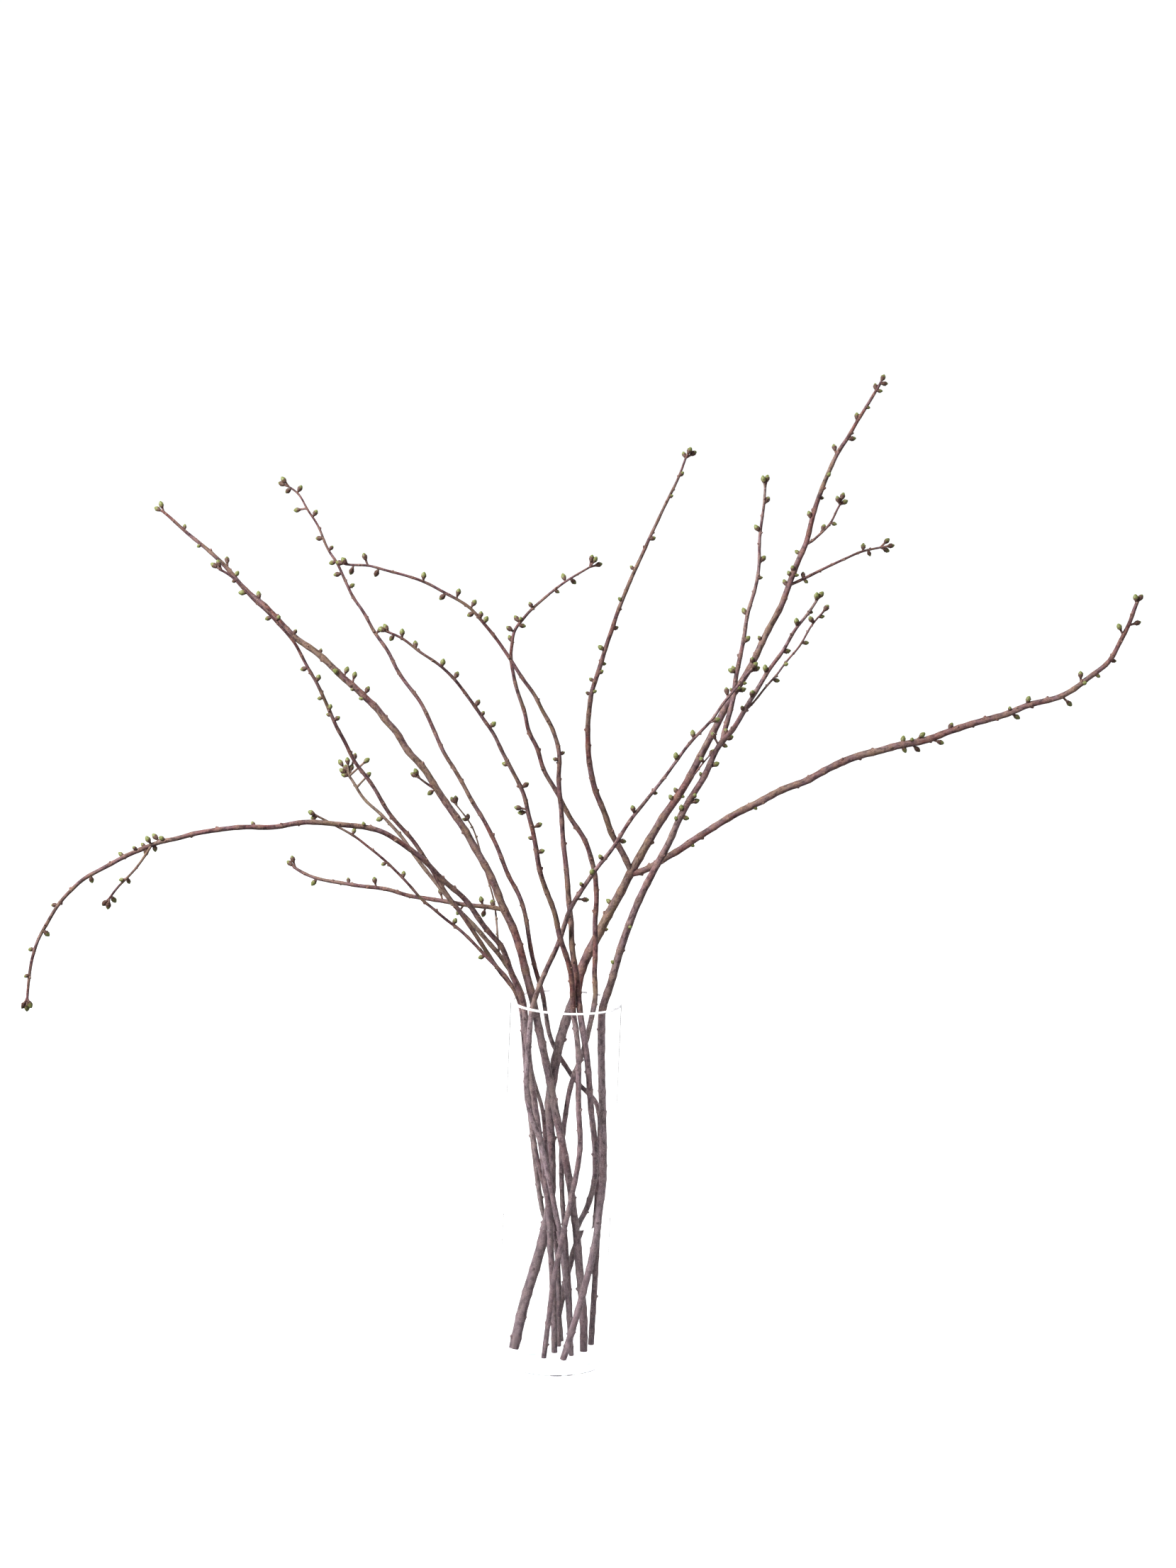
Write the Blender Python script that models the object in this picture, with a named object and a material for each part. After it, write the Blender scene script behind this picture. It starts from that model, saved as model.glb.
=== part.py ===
"""Cherry branches in swelling bud, standing in a clear glass cylinder vase with water.

The pieces are the vase, the water with a plain hole for each stem, and twelve cut branches, each one solid with
its side shoots and buds. World units are metres and +Z is up. The origin is the centre of the vase's underside.

The branches above the rim are laid out as a standing viewer sees them. A reading (across, up), in millimetres, is
a point of the upright plane through the vase's axis, and "behind" is how far past that plane, along the same line
of sight, the wood lies. Inside the vase the points are plain (x, y, z), in millimetres.
"""

import math
from dataclasses import dataclass, field

import bpy
import bmesh
from mathutils import Vector

MM = 0.001

# Vase and water, in metres.
VASE_HEIGHT = 0.400
VASE_RADIUS = 0.060
WALL = 0.004
GLASS_FLOOR = 0.010
GLASS_EDGE = 0.0012
WATER_LEVEL = 0.160
SEAT_GAP = 0.0003
VASE_SEGMENTS = 48

# The viewer's eye, in millimetres: a little right of the vase's axis, 2.9 m in front, at standing height.
EYE_ACROSS = 13.0
EYE_AWAY = 2900.0
EYE_UP = 1027.0

# Fineness of the faceted wood and bud proportions, in millimetres. A ring stands wherever the stem's straight run
# would otherwise leave its smooth curve by more than the chord error.
CURVE_STEP = 3.0
CHORD_ERROR = 1.5
LONGEST_RUN = 110.0
BUD_LENGTH = 9.5
BUD_FATNESS = 0.30
BUD_SIDES = 4
STALK_RADIUS = 1.0
BUD_ROOT_RADIUS = 1.1
SIDE_LEAN = 2.2
END_SINK = 2.6
HOLE_CLEARANCE = 0.45


@dataclass(frozen=True)
class Shoot:
    """One stem, arm or twig: its route, how far it lies behind the viewing plane, its radii and its buds."""

    seen: tuple
    behind: tuple
    radii: tuple
    buds: tuple = ()
    held: tuple = ()
    arms: tuple = field(default=())


# Every bud is (across, up, length) of its tip, in millimetres, read on the viewing plane.

LEFT_TALL_SIDE_ARM = Shoot(
    seen=((-71, 497), (-88, 500), (-104, 500), (-124, 502), (-138, 504), (-158, 506), (-177, 508), (-191, 513),
          (-207, 515), (-227, 516), (-242, 518), (-259, 520), (-269, 521), (-288, 527), (-299, 534)),
    behind=(42, 48, 54, 60),
    radii=(2.5, 2.3, 2.1, 1.7),
    buds=((-85, 508, 7), (-97, 511, 8), (-94, 488, 8), (-122, 489, 9), (-141, 518, 9), (-212, 527, 9),
          (-240, 525, 8), (-279, 514, 8), (-306, 540, 10), (-301, 546, 9)),
)
LEFT_TALL_SPUR = Shoot(
    seen=((-147, 624), (-155, 627), (-162, 632), (-169, 637)),
    behind=(57, 50),
    radii=(1.5, 1.1),
    buds=((-177, 641, 9), (-173, 646, 8), (-158, 618, 7)),
)
LEFT_TALL = Shoot(
    held=((34.5, 0, 10.3), (32.5, 3, 50), (26, 8, 100), (20, 13, 150), (13, 16, 192), (3.5, 18, 233),
          (-7, 20, 274),
          (-13, 22, 300), (-18, 25, 320), (-28, 29.3, 358), (-38.3, 32.3, 400)),
    seen=((-43, 423), (-51, 452), (-60, 477), (-71, 497), (-80.8, 520.1), (-86.8, 534.1), (-103.8, 561.1),
          (-117.8, 584.1), (-133.8, 605.1), (-149.8, 627.1), (-162.8, 647.1), (-181.8, 665.1), (-193.8, 686.1),
          (-204.8, 694.1), (-213.8, 708.1), (-226.8, 718.1), (-237.8, 729.1), (-252.8, 740.1), (-270.8, 757.1),
          (-287.8, 770.1), (-303.8, 779.1), (-325.8, 801.1), (-339.8, 815.1), (-352.8, 823.1), (-367.8, 838.1),
          (-378.8, 851.1), (-400.8, 870.1), (-411.8, 878.1), (-423.8, 887.1), (-442, 903), (-449, 908)),
    behind=(36, 50, 62, 74, 90),
    radii=(4.1, 4.1, 4.3, 3.7, 3.4, 1.5),
    buds=((-457, 911, 9), (-451, 918, 9), (-424, 895, 7), (-411, 871, 6), (-379, 863, 12), (-366, 848, 6),
          (-345, 828, 12), (-303, 789, 9), (-276, 770, 6), (-263, 748, 11), (-247, 752, 9), (-239, 747, 9),
          (-244, 727, 8), (-235, 718, 9), (-224, 732, 11)),
    arms=(LEFT_TALL_SIDE_ARM, LEFT_TALL_SPUR),
)

LEFT_ARCH_SPUR = Shoot(
    seen=((-451, 548), (-459, 537), (-467, 525), (-478, 512), (-487, 504), (-492, 495), (-497, 488)),
    behind=(-140, -132),
    radii=(1.4, 1.25, 1.25),
    buds=((-474, 507, 8), (-486, 511, 7), (-503, 482, 9), (-497, 478, 9), (-488, 486, 8)),
)
LEFT_ARCH = Shoot(
    held=((4, -8, 10.3), (1, -9, 60), (-4, -11, 120), (-10, -13, 180), (-17, -15, 225), (-23, -16, 258),
          (-29, -18, 290), (-35, -20, 325), (-40, -22, 362), (-45.3, -24.6, 400)),
    seen=((-60, 427), (-64, 438), (-72, 458), (-84, 469), (-97, 485), (-113, 507), (-130, 520), (-143, 531),
          (-156, 545), (-169, 555), (-183, 564), (-194, 571), (-206, 577), (-220, 580), (-233, 581),
          (-254, 582),
          (-269, 583), (-289, 583), (-302, 580), (-324, 575), (-348, 575), (-371, 572), (-397, 567),
          (-410, 564),
          (-425, 558), (-439, 556), (-446, 553), (-463, 545), (-478, 538), (-491, 530), (-506, 521),
          (-525, 510),
          (-534, 500), (-544, 490), (-553, 477), (-561, 462), (-566, 452), (-571, 444), (-574, 434),
          (-578, 419),
          (-580, 403), (-581, 392), (-582, 374)),
    behind=(-27, -75, -110, -140, -160),
    radii=(3.2, 3.2, 3.0, 2.8, 2.4, 1.5),
    buds=((-588, 365, 9), (-577, 366, 9), (-582, 362, 10), (-586, 400, 6), (-582, 430, 8), (-559, 446, 7),
          (-558, 480, 8), (-514, 506, 8), (-487, 541, 7), (-472, 548, 8), (-463, 552, 8), (-458, 560, 10),
          (-451, 563, 9), (-444, 560, 9), (-447, 543, 9), (-457, 538, 8), (-345, 581, 5), (-226, 586, 5)),
    arms=(LEFT_ARCH_SPUR,),
)

LEFT_SLENDER = Shoot(
    held=((8, 14, 10.3), (4, 8, 100), (-4, 3, 150), (-14, 1, 188), (-27, 1, 236), (-34, 2, 280),
          (-39.5, 2.5, 312), (-44.5, 3, 355), (-50.9, 3.4, 400)),
    seen=((-65.5, 421), (-78, 436), (-91, 455), (-103, 472), (-117, 491), (-133, 511), (-142, 524),
          (-152, 541), (-161, 553),
          (-171, 568), (-183, 580), (-199, 597), (-216, 625), (-227, 638), (-239, 653), (-248, 672),
          (-257, 685),
          (-262, 697), (-272, 717), (-279, 732), (-289, 747), (-299, 765), (-306, 777), (-324, 795),
          (-334, 806),
          (-350, 818), (-358, 827), (-374, 843), (-387, 849)),
    behind=(3, -4, -22, -42, -62),
    radii=(2.5, 2.5, 2.3, 2.3, 1.9, 1.3),
    buds=((-396, 855, 10), (-389, 859, 8), (-373, 836, 6), (-366, 825, 9), (-337, 798, 8), (-321, 803, 8),
          (-298, 746, 7), (-277, 742, 9), (-279, 716, 8), (-264, 711, 7), (-269, 700, 7), (-254, 698, 7)),
)

LEFT_BRUSH_TWIG = Shoot(
    seen=((-75, 449), (-76, 462), (-78, 478), (-82, 506), (-91, 533), (-105, 578), (-111, 590), (-128, 610)),
    behind=(24, 58, 78, 96),
    radii=(1.2, 1.0, 0.9),
    buds=((-114, 600, 7), (-120, 594, 7), (-133, 617, 8), (-128, 619, 7)),
)
LEFT_BRUSH = Shoot(
    held=((10, 32, 10.3), (4, 32, 60), (-6, 31, 115), (-18, 28, 165), (-29, 25, 230), (-37, 22, 290),
          (-42, 21, 350), (-47.6, 20.8, 400)),
    seen=((-71, 444), (-83, 457), (-100, 476), (-119, 494), (-138, 515), (-157, 537), (-164, 545), (-175, 560),
          (-183, 571), (-193, 581), (-201, 589), (-206, 595), (-220, 605), (-229, 614), (-238, 630),
          (-244, 637)),
    behind=(24, 32, 40, 46),
    radii=(2.8, 2.8, 2.8, 2.4, 1.5),
    buds=((-254, 652, 8), (-245, 655, 9), (-239, 648, 8), (-253, 642, 8), (-247, 647, 9), (-251, 636, 7),
          (-236, 660, 14), (-221, 655, 13), (-219, 640, 11), (-212, 588, 5), (-160, 555, 5)),
    arms=(LEFT_BRUSH_TWIG,),
)

LEFT_LOW = Shoot(
    held=((21, 8, 10.3), (17, 6, 50), (10, 3, 100), (1, 0, 150), (-7, -3, 188), (-15, -6, 236), (-20, -8, 280),
          (-31, -10, 312), (-39, -12, 346), (-45, -13.5, 372), (-50, -14.5, 400)),
    seen=((-65, 424), (-74, 432), (-86, 443), (-98, 455), (-117, 473), (-134, 484), (-149, 497), (-159, 502),
          (-165, 510), (-177, 523), (-194, 539), (-208, 551), (-221, 560), (-232, 569), (-242, 574),
          (-256, 581),
          (-269, 587), (-277, 591)),
    behind=(-15, -16, -24, -36),
    radii=(2.4, 2.3, 2.1, 1.6, 1.2),
    buds=((-97, 443, 7), (-122, 486, 8), (-180, 535, 9), (-205, 540, 6), (-234, 579, 9), (-285, 595, 9),
          (-282, 587, 7)),
)

LEFT_UPRIGHT = Shoot(
    held=((41, 24, 10.3), (42, 26, 80), (42.5, 27, 130), (43.2, 28, 170), (43.6, 28, 205), (43.6, 28.4, 240),
          (43, 29.5, 262), (39.5, 34, 279), (32, 41, 286.5), (21.6, 47, 293), (9.9, 50.2, 305),
          (-3.2, 50.8, 323.7), (-13.3, 49.8, 340.5), (-18.6, 48.4, 355), (-22.6, 46.6, 378),
          (-26.7, 44.2, 400)),
    seen=((-33, 428), (-41, 457), (-48, 493), (-57, 517), (-69, 536), (-80, 563), (-98, 596), (-108, 610),
          (-126, 641), (-142, 664), (-155, 691), (-169, 718), (-181, 732), (-195, 750), (-205, 770),
          (-221, 790),
          (-232, 810), (-246, 827), (-249, 835), (-258, 852), (-261, 861), (-269, 869), (-276, 881),
          (-279, 890),
          (-286, 904), (-295, 914), (-297, 917), (-304, 932), (-318, 940)),
    behind=(50, 72, 95, 122, 150),
    radii=(3.0, 2.8, 2.5, 2.4, 2.0, 1.05),
    buds=((-327, 943, 9), (-324, 949, 9), (-319, 932, 7), (-302, 941, 9), (-310, 914, 9), (-285, 916, 7),
          (-286, 886, 8), (-267, 879, 8), (-271, 860, 9), (-266, 848, 8), (-243, 840, 8), (-212, 796, 5)),
)

MID_HOOKED = Shoot(
    held=((3, 46, 10.3), (7, 46, 40), (12, 46, 75), (18, 45, 105), (24, 42.5, 130), (31, 35, 155),
          (37, 22, 180),
          (40, 10, 205), (39, -5, 230), (37, -18, 255), (33, -28, 280), (30, -36, 305), (27, -41.5, 335),
          (22, -46, 365), (15.2, -49.4, 400)),
    seen=((11, 422), (8, 438), (3, 462), (2, 486), (-1, 502), (-3, 518), (-6, 544), (-11, 575), (-14, 606),
          (-17, 627), (-19, 644), (-18, 660), (-19, 671), (-23, 684), (-29, 699), (-40, 715), (-47, 730),
          (-60, 745), (-75, 767), (-93, 791), (-106, 805), (-118, 819), (-130, 826), (-137, 830), (-151, 836),
          (-161, 842), (-178, 848), (-193, 852), (-209, 855), (-221, 858), (-230, 861), (-243, 859),
          (-254, 860)),
    behind=(-48, -34, -38, -48, -62),
    radii=(3.2, 3.2, 3.3, 2.6, 1.85, 1.2),
    buds=((-264, 862, 9), (-258, 867, 9), (-248, 849, 9), (-235, 873, 12), (-222, 848, 8), (-170, 856, 8),
          (-153, 827, 8), (-132, 840, 9), (-123, 811, 8), (-108, 817, 9), (-114, 829, 10), (-101, 812, 7),
          (-13, 671, 5), (-26, 663, 5)),
)

MID_LEANING = Shoot(
    held=((-7, -28, 10.3), (-4, -29, 50), (0, -30, 100), (7, -32, 145), (13, -34, 180), (20, -37, 225),
          (22, -40, 255), (19, -43, 285), (17, -46, 320), (16, -48, 350), (12, -49.2, 380), (8, -50.5, 400)),
    seen=((5, 425), (-2, 450), (-11, 472), (-16, 496), (-26, 518), (-35, 542), (-38, 558), (-43, 582),
          (-50, 604),
          (-54, 622), (-66, 644), (-80, 668), (-90, 688), (-100, 700), (-109, 713), (-125, 733), (-132, 742),
          (-143, 752), (-150, 758), (-167, 768), (-177, 774), (-190, 785), (-200, 788), (-208, 791)),
    behind=(-57, -72, -85, -98, -112),
    radii=(2.8, 2.8, 3.0, 2.8, 2.0, 1.3),
    buds=((-50, 636, 10), (-65, 609, 14), (-61, 603, 11), (-34, 593, 8), (-49, 577, 6), (-30, 564, 7),
          (-80, 656, 8), (-88, 700, 10), (-106, 723, 8), (-101, 711, 7), (-130, 752, 9), (-146, 765, 8),
          (-177, 783, 9), (-191, 795, 8), (-204, 781, 7), (-217, 794, 9), (-211, 799, 9)),
)

MID_WAVY = Shoot(
    held=((20, 35, 10.3), (16, 29, 70), (8, 25, 144), (3, 27, 200), (2, 32, 230), (4, 33, 260), (9, 33, 300),
          (19, 35, 330), (26, 38.5, 360), (32, 41.6, 400)),
    seen=((29.5, 423), (29, 439), (29, 463), (27, 487), (28, 511), (26, 532), (24, 545), (20, 556), (16, 570),
          (8, 584), (-4, 599), (-12, 613), (-20, 628), (-28, 639), (-37, 654), (-42, 674), (-51, 686),
          (-55, 698),
          (-57, 711), (-64, 727), (-69, 741), (-73, 759), (-76, 772), (-73, 785), (-75, 795), (-68, 805),
          (-62, 812), (-58, 819), (-50, 826), (-33, 842), (-22, 851), (-9, 860), (1, 866), (7, 870)),
    behind=(43, 32, 15, 5, 20),
    radii=(2.6, 2.7, 2.9, 2.7, 2.1, 1.05),
    buds=((-73, 814, 9), (-81, 802, 9), (-66, 813, 8), (-60, 803, 9), (-78, 793, 7), (-58, 829, 8),
          (-24, 861, 9), (-26, 840, 7), (-9, 850, 8), (12, 880, 10), (18, 873, 9), (7, 882, 7)),
)

CROSSING = Shoot(
    held=((22, -16, 10.3), (17, -17, 60), (12, -19, 100), (5, -22, 145), (-3, -24, 180), (-14, -27, 225),
          (-23, -29, 258), (-31, -31, 275), (-37, -33, 300), (-39, -34, 320), (-38, -35, 350), (-37, -37, 380),
          (-35.8, -38.4, 400)),
    seen=((-29, 417), (-21, 439), (-11, 463), (-5, 486), (0, 502), (8, 517), (16, 530), (27, 548), (42, 568),
          (50, 583), (61, 602.5), (73, 618.5), (85.5, 636), (97.5, 653), (108, 669.5), (118, 685),
          (125.5, 693.6),
          (132.7, 702), (141, 710.5), (146.3, 719), (150.5, 727.5), (154.7, 733.7), (159.7, 739.3),
          (164.7, 746.4), (169.7, 752.7), (174.7, 759.8), (179, 766)),
    behind=(-41, -55, -66, -78, -92),
    radii=(2.8, 2.8, 2.9, 2.6, 1.8, 1.3),
    buds=((20, 512, 9), (9, 531, 8), (22, 546, 9), (28, 562, 9), (57, 577, 8), (61, 617, 11), (88, 631, 5),
          (105, 676, 11), (121.5, 701, 11), (150.5, 714, 12), (155, 748, 12), (187, 776, 11), (190, 771, 8)),
)

RIGHT_FORKED_TWIG = Shoot(
    seen=((176, 720), (184, 731), (192.8, 743.8), (200.8, 755.4), (208.2, 762), (211.3, 769), (220, 781.5),
          (230.6, 794), (233.7, 800.4), (238, 810), (242.5, 819), (249, 827), (254, 832.6)),
    behind=(-64, -85, -120),
    radii=(1.15, 1.05, 1.0),
    buds=((211.8, 757, 8), (219.5, 776, 5), (240.5, 799, 9), (239, 827, 9), (255.5, 828, 7), (259, 840, 9)),
)
RIGHT_FORKED_ARM = Shoot(
    seen=((152, 690), (156, 704), (158.4, 712), (160, 719.5), (161.4, 727), (163.3, 735), (164, 742),
          (164, 749.5), (164.5, 757), (166, 767), (167.4, 776), (169, 785.5), (170.3, 794), (172, 806),
          (172.3, 817.5), (174, 829.7), (177, 840), (180, 850.7), (182, 863), (183.5, 880), (182.7, 892),
          (182, 905), (182.8, 916), (184, 930.7), (185.4, 943.7), (185.2, 955), (185.2, 963)),
    behind=(-62, -48, -35, -20, -5),
    radii=(2.8, 2.4, 2.0, 1.7, 1.3),
    buds=((176.5, 747.5, 14), (170, 749, 9), (160.3, 771, 12), (155.8, 767, 10), (159, 747, 7), (177.5, 803.5, 12),
          (168, 833, 12), (188, 866, 7), (189.5, 889, 11), (176, 921, 12), (190.3, 951, 11), (182, 973, 10),
          (187.5, 974, 11)),
)
RIGHT_FORKED = Shoot(
    held=((13.6, -31, 10.3), (26, -30, 60), (37, -27, 110), (43.5, -23.5, 150), (46, -19, 180), (48, -18, 205),
          (47, -19.5, 240), (44.5, -23, 283), (41.2, -26.4, 330), (39.2, -29, 370), (38.8, -30.5, 400)),
    seen=((45.5, 415), (49, 428), (52, 444), (56.5, 462), (62, 481), (67, 497), (72, 511), (78, 526), (83, 537),
          (88, 547), (92.5, 558), (98, 567.5), (101.5, 576), (105.3, 584.5), (109, 597), (115, 610.5),
          (122, 625),
          (129, 638), (134, 645), (141, 661.5), (146, 676), (152, 689), (158, 693.5), (165.6, 704),
          (170, 712.5), (174.3, 721), (178, 728.7), (182, 735.7), (186, 743.6), (191, 751.5), (197, 764.5),
          (204, 775.5), (212, 786.3), (217.5, 797), (222, 807.6), (228.4, 818), (236, 827), (241.5, 836),
          (246.5, 845)),
    behind=(-35, -47, -60, -75, -92),
    radii=(3.7, 3.8, 4.1, 3.2, 1.35),
    buds=((107.5, 607, 7), (123, 605, 9), (113.5, 620, 10), (133, 626, 16), (129, 632, 12), (152, 667, 15),
          (131.5, 656, 10), (142, 699, 12), (165.5, 696, 13), (160, 684, 8), (156, 704, 8), (172.5, 729, 8),
          (183.5, 746, 10), (195, 774, 12), (221.8, 790, 10), (225.5, 825, 12), (243, 831, 6), (246, 853, 8),
          (252.5, 854, 10), (66, 484, 4), (46, 447, 4)),
    arms=(RIGHT_FORKED_TWIG, RIGHT_FORKED_ARM),
)

GREAT_INNER_ARM = Shoot(
    seen=((61, 545), (55, 562), (49, 572), (43, 580), (38, 590), (34, 603), (28, 616), (21, 630), (17, 645),
          (13, 662), (11, 681), (10, 702), (11, 720), (12, 735), (16, 749), (21, 766), (25, 784), (31, 803),
          (36, 822), (43, 842), (51, 864), (59, 883), (67, 904), (76, 925), (82.5, 941), (87.7, 952),
          (92.8, 964),
          (96.4, 974), (99, 983), (101, 990)),
    behind=(68, 62, 52, 48, 55),
    radii=(3.5, 3.0, 2.4, 1.9, 1.15),
    buds=((6, 736, 7), (18, 738, 7), (9, 751, 7), (24, 760, 8), (27, 767, 7), (17, 786, 8), (38, 807, 8),
          (36, 838, 6), (47, 872, 7), (73, 903, 8), (89, 948, 6), (99, 973, 8), (97, 994, 9), (105.6, 999, 10),
          (111.5, 995, 11)),
)
GREAT_OUTER_ARM = Shoot(
    seen=((63, 543), (72, 544), (85, 551), (93, 557), (101, 562), (110, 568), (119, 574), (128, 582),
          (140, 590),
          (152, 599), (165, 608), (178, 616), (193, 624), (206, 632), (217, 639), (230, 645), (246, 651),
          (259, 660), (271, 667), (288, 676), (306, 683), (322, 687), (335, 692), (348, 695.5), (364, 698.5),
          (377, 703), (389, 709), (402, 714), (417, 720), (432, 725), (446, 729.5), (457, 733), (467, 739),
          (477, 743.5), (489, 747), (501, 750), (511.5, 754), (521.5, 760), (530, 767), (537.5, 774.5),
          (545, 780), (553.5, 787), (561, 794.5), (565, 804), (570, 817), (575.5, 828), (579, 838), (582, 851),
          (584.5, 858)),
    behind=(68, 50, 20, -15, -45),
    radii=(3.6, 3.8, 3.8, 3.1, 2.0),
    buds=((346.5, 705, 9), (369, 709, 16), (356, 703, 8), (350, 686, 9), (365, 688, 14), (390, 698, 15),
          (397.5, 721, 12), (477.5, 753, 11), (469, 728, 13), (457, 741, 7), (523, 744, 15), (529.6, 782, 15),
          (537, 770, 8), (551, 776, 6), (567, 794, 5), (565.5, 834, 15), (590, 837, 14), (581.7, 866, 11),
          (589.5, 866, 12), (195, 618, 4), (130, 575, 4)),
)
GREAT_LOW_TWIG = Shoot(
    seen=((118, 642), (126, 652), (133, 664), (142, 675)),
    behind=(84, 78),
    radii=(1.1, 0.8),
    buds=((146, 681, 6), (131, 672, 5)),
)
GREAT_TOP_TWIG = Shoot(
    seen=((232, 900), (241, 908), (247.7, 917.5), (256, 923.5), (259, 932), (262, 941.5), (266, 948)),
    behind=(124, 116, 106),
    radii=(1.5, 1.3, 1.0),
    buds=((250, 925, 9), (263, 925, 8), (268.2, 959, 11), (261, 955, 7), (273, 951, 8)),
)
GREAT_SIDE_TWIG = Shoot(
    seen=((217, 859), (226, 863.5), (232, 867), (243, 873), (257, 881), (273, 889), (287, 896.7), (293.5, 899),
          (304.5, 901.5), (312.5, 903.5)),
    behind=(118, 126, 142),
    radii=(1.7, 1.4, 1.2),
    buds=((230, 874, 8), (236, 862, 7), (292, 907, 9), (300, 893, 7), (319, 913, 11), (325, 906, 12),
          (320, 899, 9)),
)
GREAT = Shoot(
    held=((-39, -2, 10.3), (-30, 7, 60), (-16.5, 15, 115), (-8, 22, 165), (-10, 30, 230), (-14, 33, 275),
          (-11, 36, 305), (-8, 40, 330), (-3, 44, 355), (4, 46.6, 380), (11, 48.4, 400)),
    seen=((13, 430), (20, 450), (30, 472), (40, 495), (53, 521), (62, 542), (68, 553), (75, 568), (84, 585),
          (94, 604), (105, 621), (113, 634), (120, 647), (126, 661), (132, 674), (138, 687), (143, 697),
          (148, 709),
          (153, 720), (158, 732), (165, 744), (172, 756), (178, 767), (183, 777), (187, 788), (192, 800),
          (197, 812), (203, 824), (209, 836), (213, 850), (218, 866), (222, 879), (225, 888), (231, 901),
          (233.5, 912), (236, 928), (240, 946), (244, 958), (248, 971), (253, 984), (257, 995), (262, 1005),
          (269, 1015), (276, 1030), (283.5, 1043), (291, 1057), (297.5, 1069), (301, 1076)),
    behind=(52, 76, 100, 122, 150),
    radii=(5.5, 5.2, 5.2, 3.9, 3.2, 1.5),
    buds=((105, 638, 10), (100, 630, 7), (117, 628, 6), (181, 781, 9), (177, 753, 7), (186, 804, 6),
          (209.5, 865, 10), (213.5, 874, 9), (218, 880, 8), (226, 870, 7), (220, 896, 9), (232, 938, 12),
          (247.8, 952, 5), (253, 979, 9), (254.5, 1009, 12), (278, 1016, 11), (277.5, 1043, 12), (291, 1048, 5),
          (303.8, 1083.5, 11), (308, 1074, 9), (294.5, 1074, 8), (303, 1066, 8), (38, 514, 4), (42, 481, 4)),
    arms=(GREAT_INNER_ARM, GREAT_OUTER_ARM, GREAT_LOW_TWIG, GREAT_TOP_TWIG, GREAT_SIDE_TWIG),
)

# Node name, layout, number of sides and bark colour (linear red, green, blue) of each branch.
BRANCHES = (
    ("branch_great", GREAT, 6, (0.20, 0.11, 0.085)),
    ("branch_right_forked", RIGHT_FORKED, 5, (0.19, 0.11, 0.09)),
    ("branch_left_tall", LEFT_TALL, 5, (0.20, 0.115, 0.09)),
    ("branch_left_arch", LEFT_ARCH, 5, (0.21, 0.11, 0.085)),
    ("branch_left_slender", LEFT_SLENDER, 5, (0.20, 0.10, 0.085)),
    ("branch_left_brush", LEFT_BRUSH, 5, (0.27, 0.19, 0.14)),
    ("branch_left_low", LEFT_LOW, 5, (0.20, 0.11, 0.09)),
    ("branch_left_upright", LEFT_UPRIGHT, 5, (0.21, 0.12, 0.10)),
    ("branch_mid_hooked", MID_HOOKED, 5, (0.20, 0.12, 0.10)),
    ("branch_mid_leaning", MID_LEANING, 5, (0.20, 0.11, 0.09)),
    ("branch_mid_wavy", MID_WAVY, 5, (0.23, 0.14, 0.11)),
    ("branch_crossing", CROSSING, 5, (0.28, 0.18, 0.15)),
)


def clear_scene():
    """Remove whatever objects the scene holds."""
    for thing in list(bpy.data.objects):
        bpy.data.objects.remove(thing, do_unlink=True)


def add_object(name, mesh):
    """Put a mesh in the scene as a named object."""
    thing = bpy.data.objects.new(name, mesh)
    bpy.context.scene.collection.objects.link(thing)
    return thing


def plain_material(name, colour, roughness, alpha=1.0):
    """A Principled material with the part's colour, roughness and no metal."""
    material = bpy.data.materials.new(name)
    material.use_nodes = True
    shader = material.node_tree.nodes["Principled BSDF"]
    shader.inputs["Base Color"].default_value = (*colour, 1.0)
    shader.inputs["Roughness"].default_value = roughness
    shader.inputs["Metallic"].default_value = 0.0
    shader.inputs["Alpha"].default_value = alpha
    return material


def sighted(across, up, behind):
    """The point, in millimetres, seen at (across, up) and lying that far behind the viewing plane."""
    reach = 1.0 + behind / EYE_AWAY
    return Vector((EYE_ACROSS + (across - EYE_ACROSS) * reach, behind, EYE_UP + (up - EYE_UP) * reach))


def reading_of(point):
    """Where a point is seen on the viewing plane, as (across, up)."""
    reach = 1.0 + point.y / EYE_AWAY
    return Vector((EYE_ACROSS + (point.x - EYE_ACROSS) / reach, EYE_UP + (point.z - EYE_UP) / reach))


def spread(values, fraction):
    """Read evenly spaced values at a fraction of the way along them."""
    place = min(max(fraction, 0.0), 1.0) * (len(values) - 1)
    index = min(int(place), len(values) - 2)
    return values[index] + (values[index + 1] - values[index]) * (place - index)


def fractions_along(points):
    """How far along a chain each of its points lies, from 0 to 1."""
    lengths = [0.0]
    for before, after in zip(points, points[1:]):
        lengths.append(lengths[-1] + (after - before).length)
    return [length / lengths[-1] for length in lengths]


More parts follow.
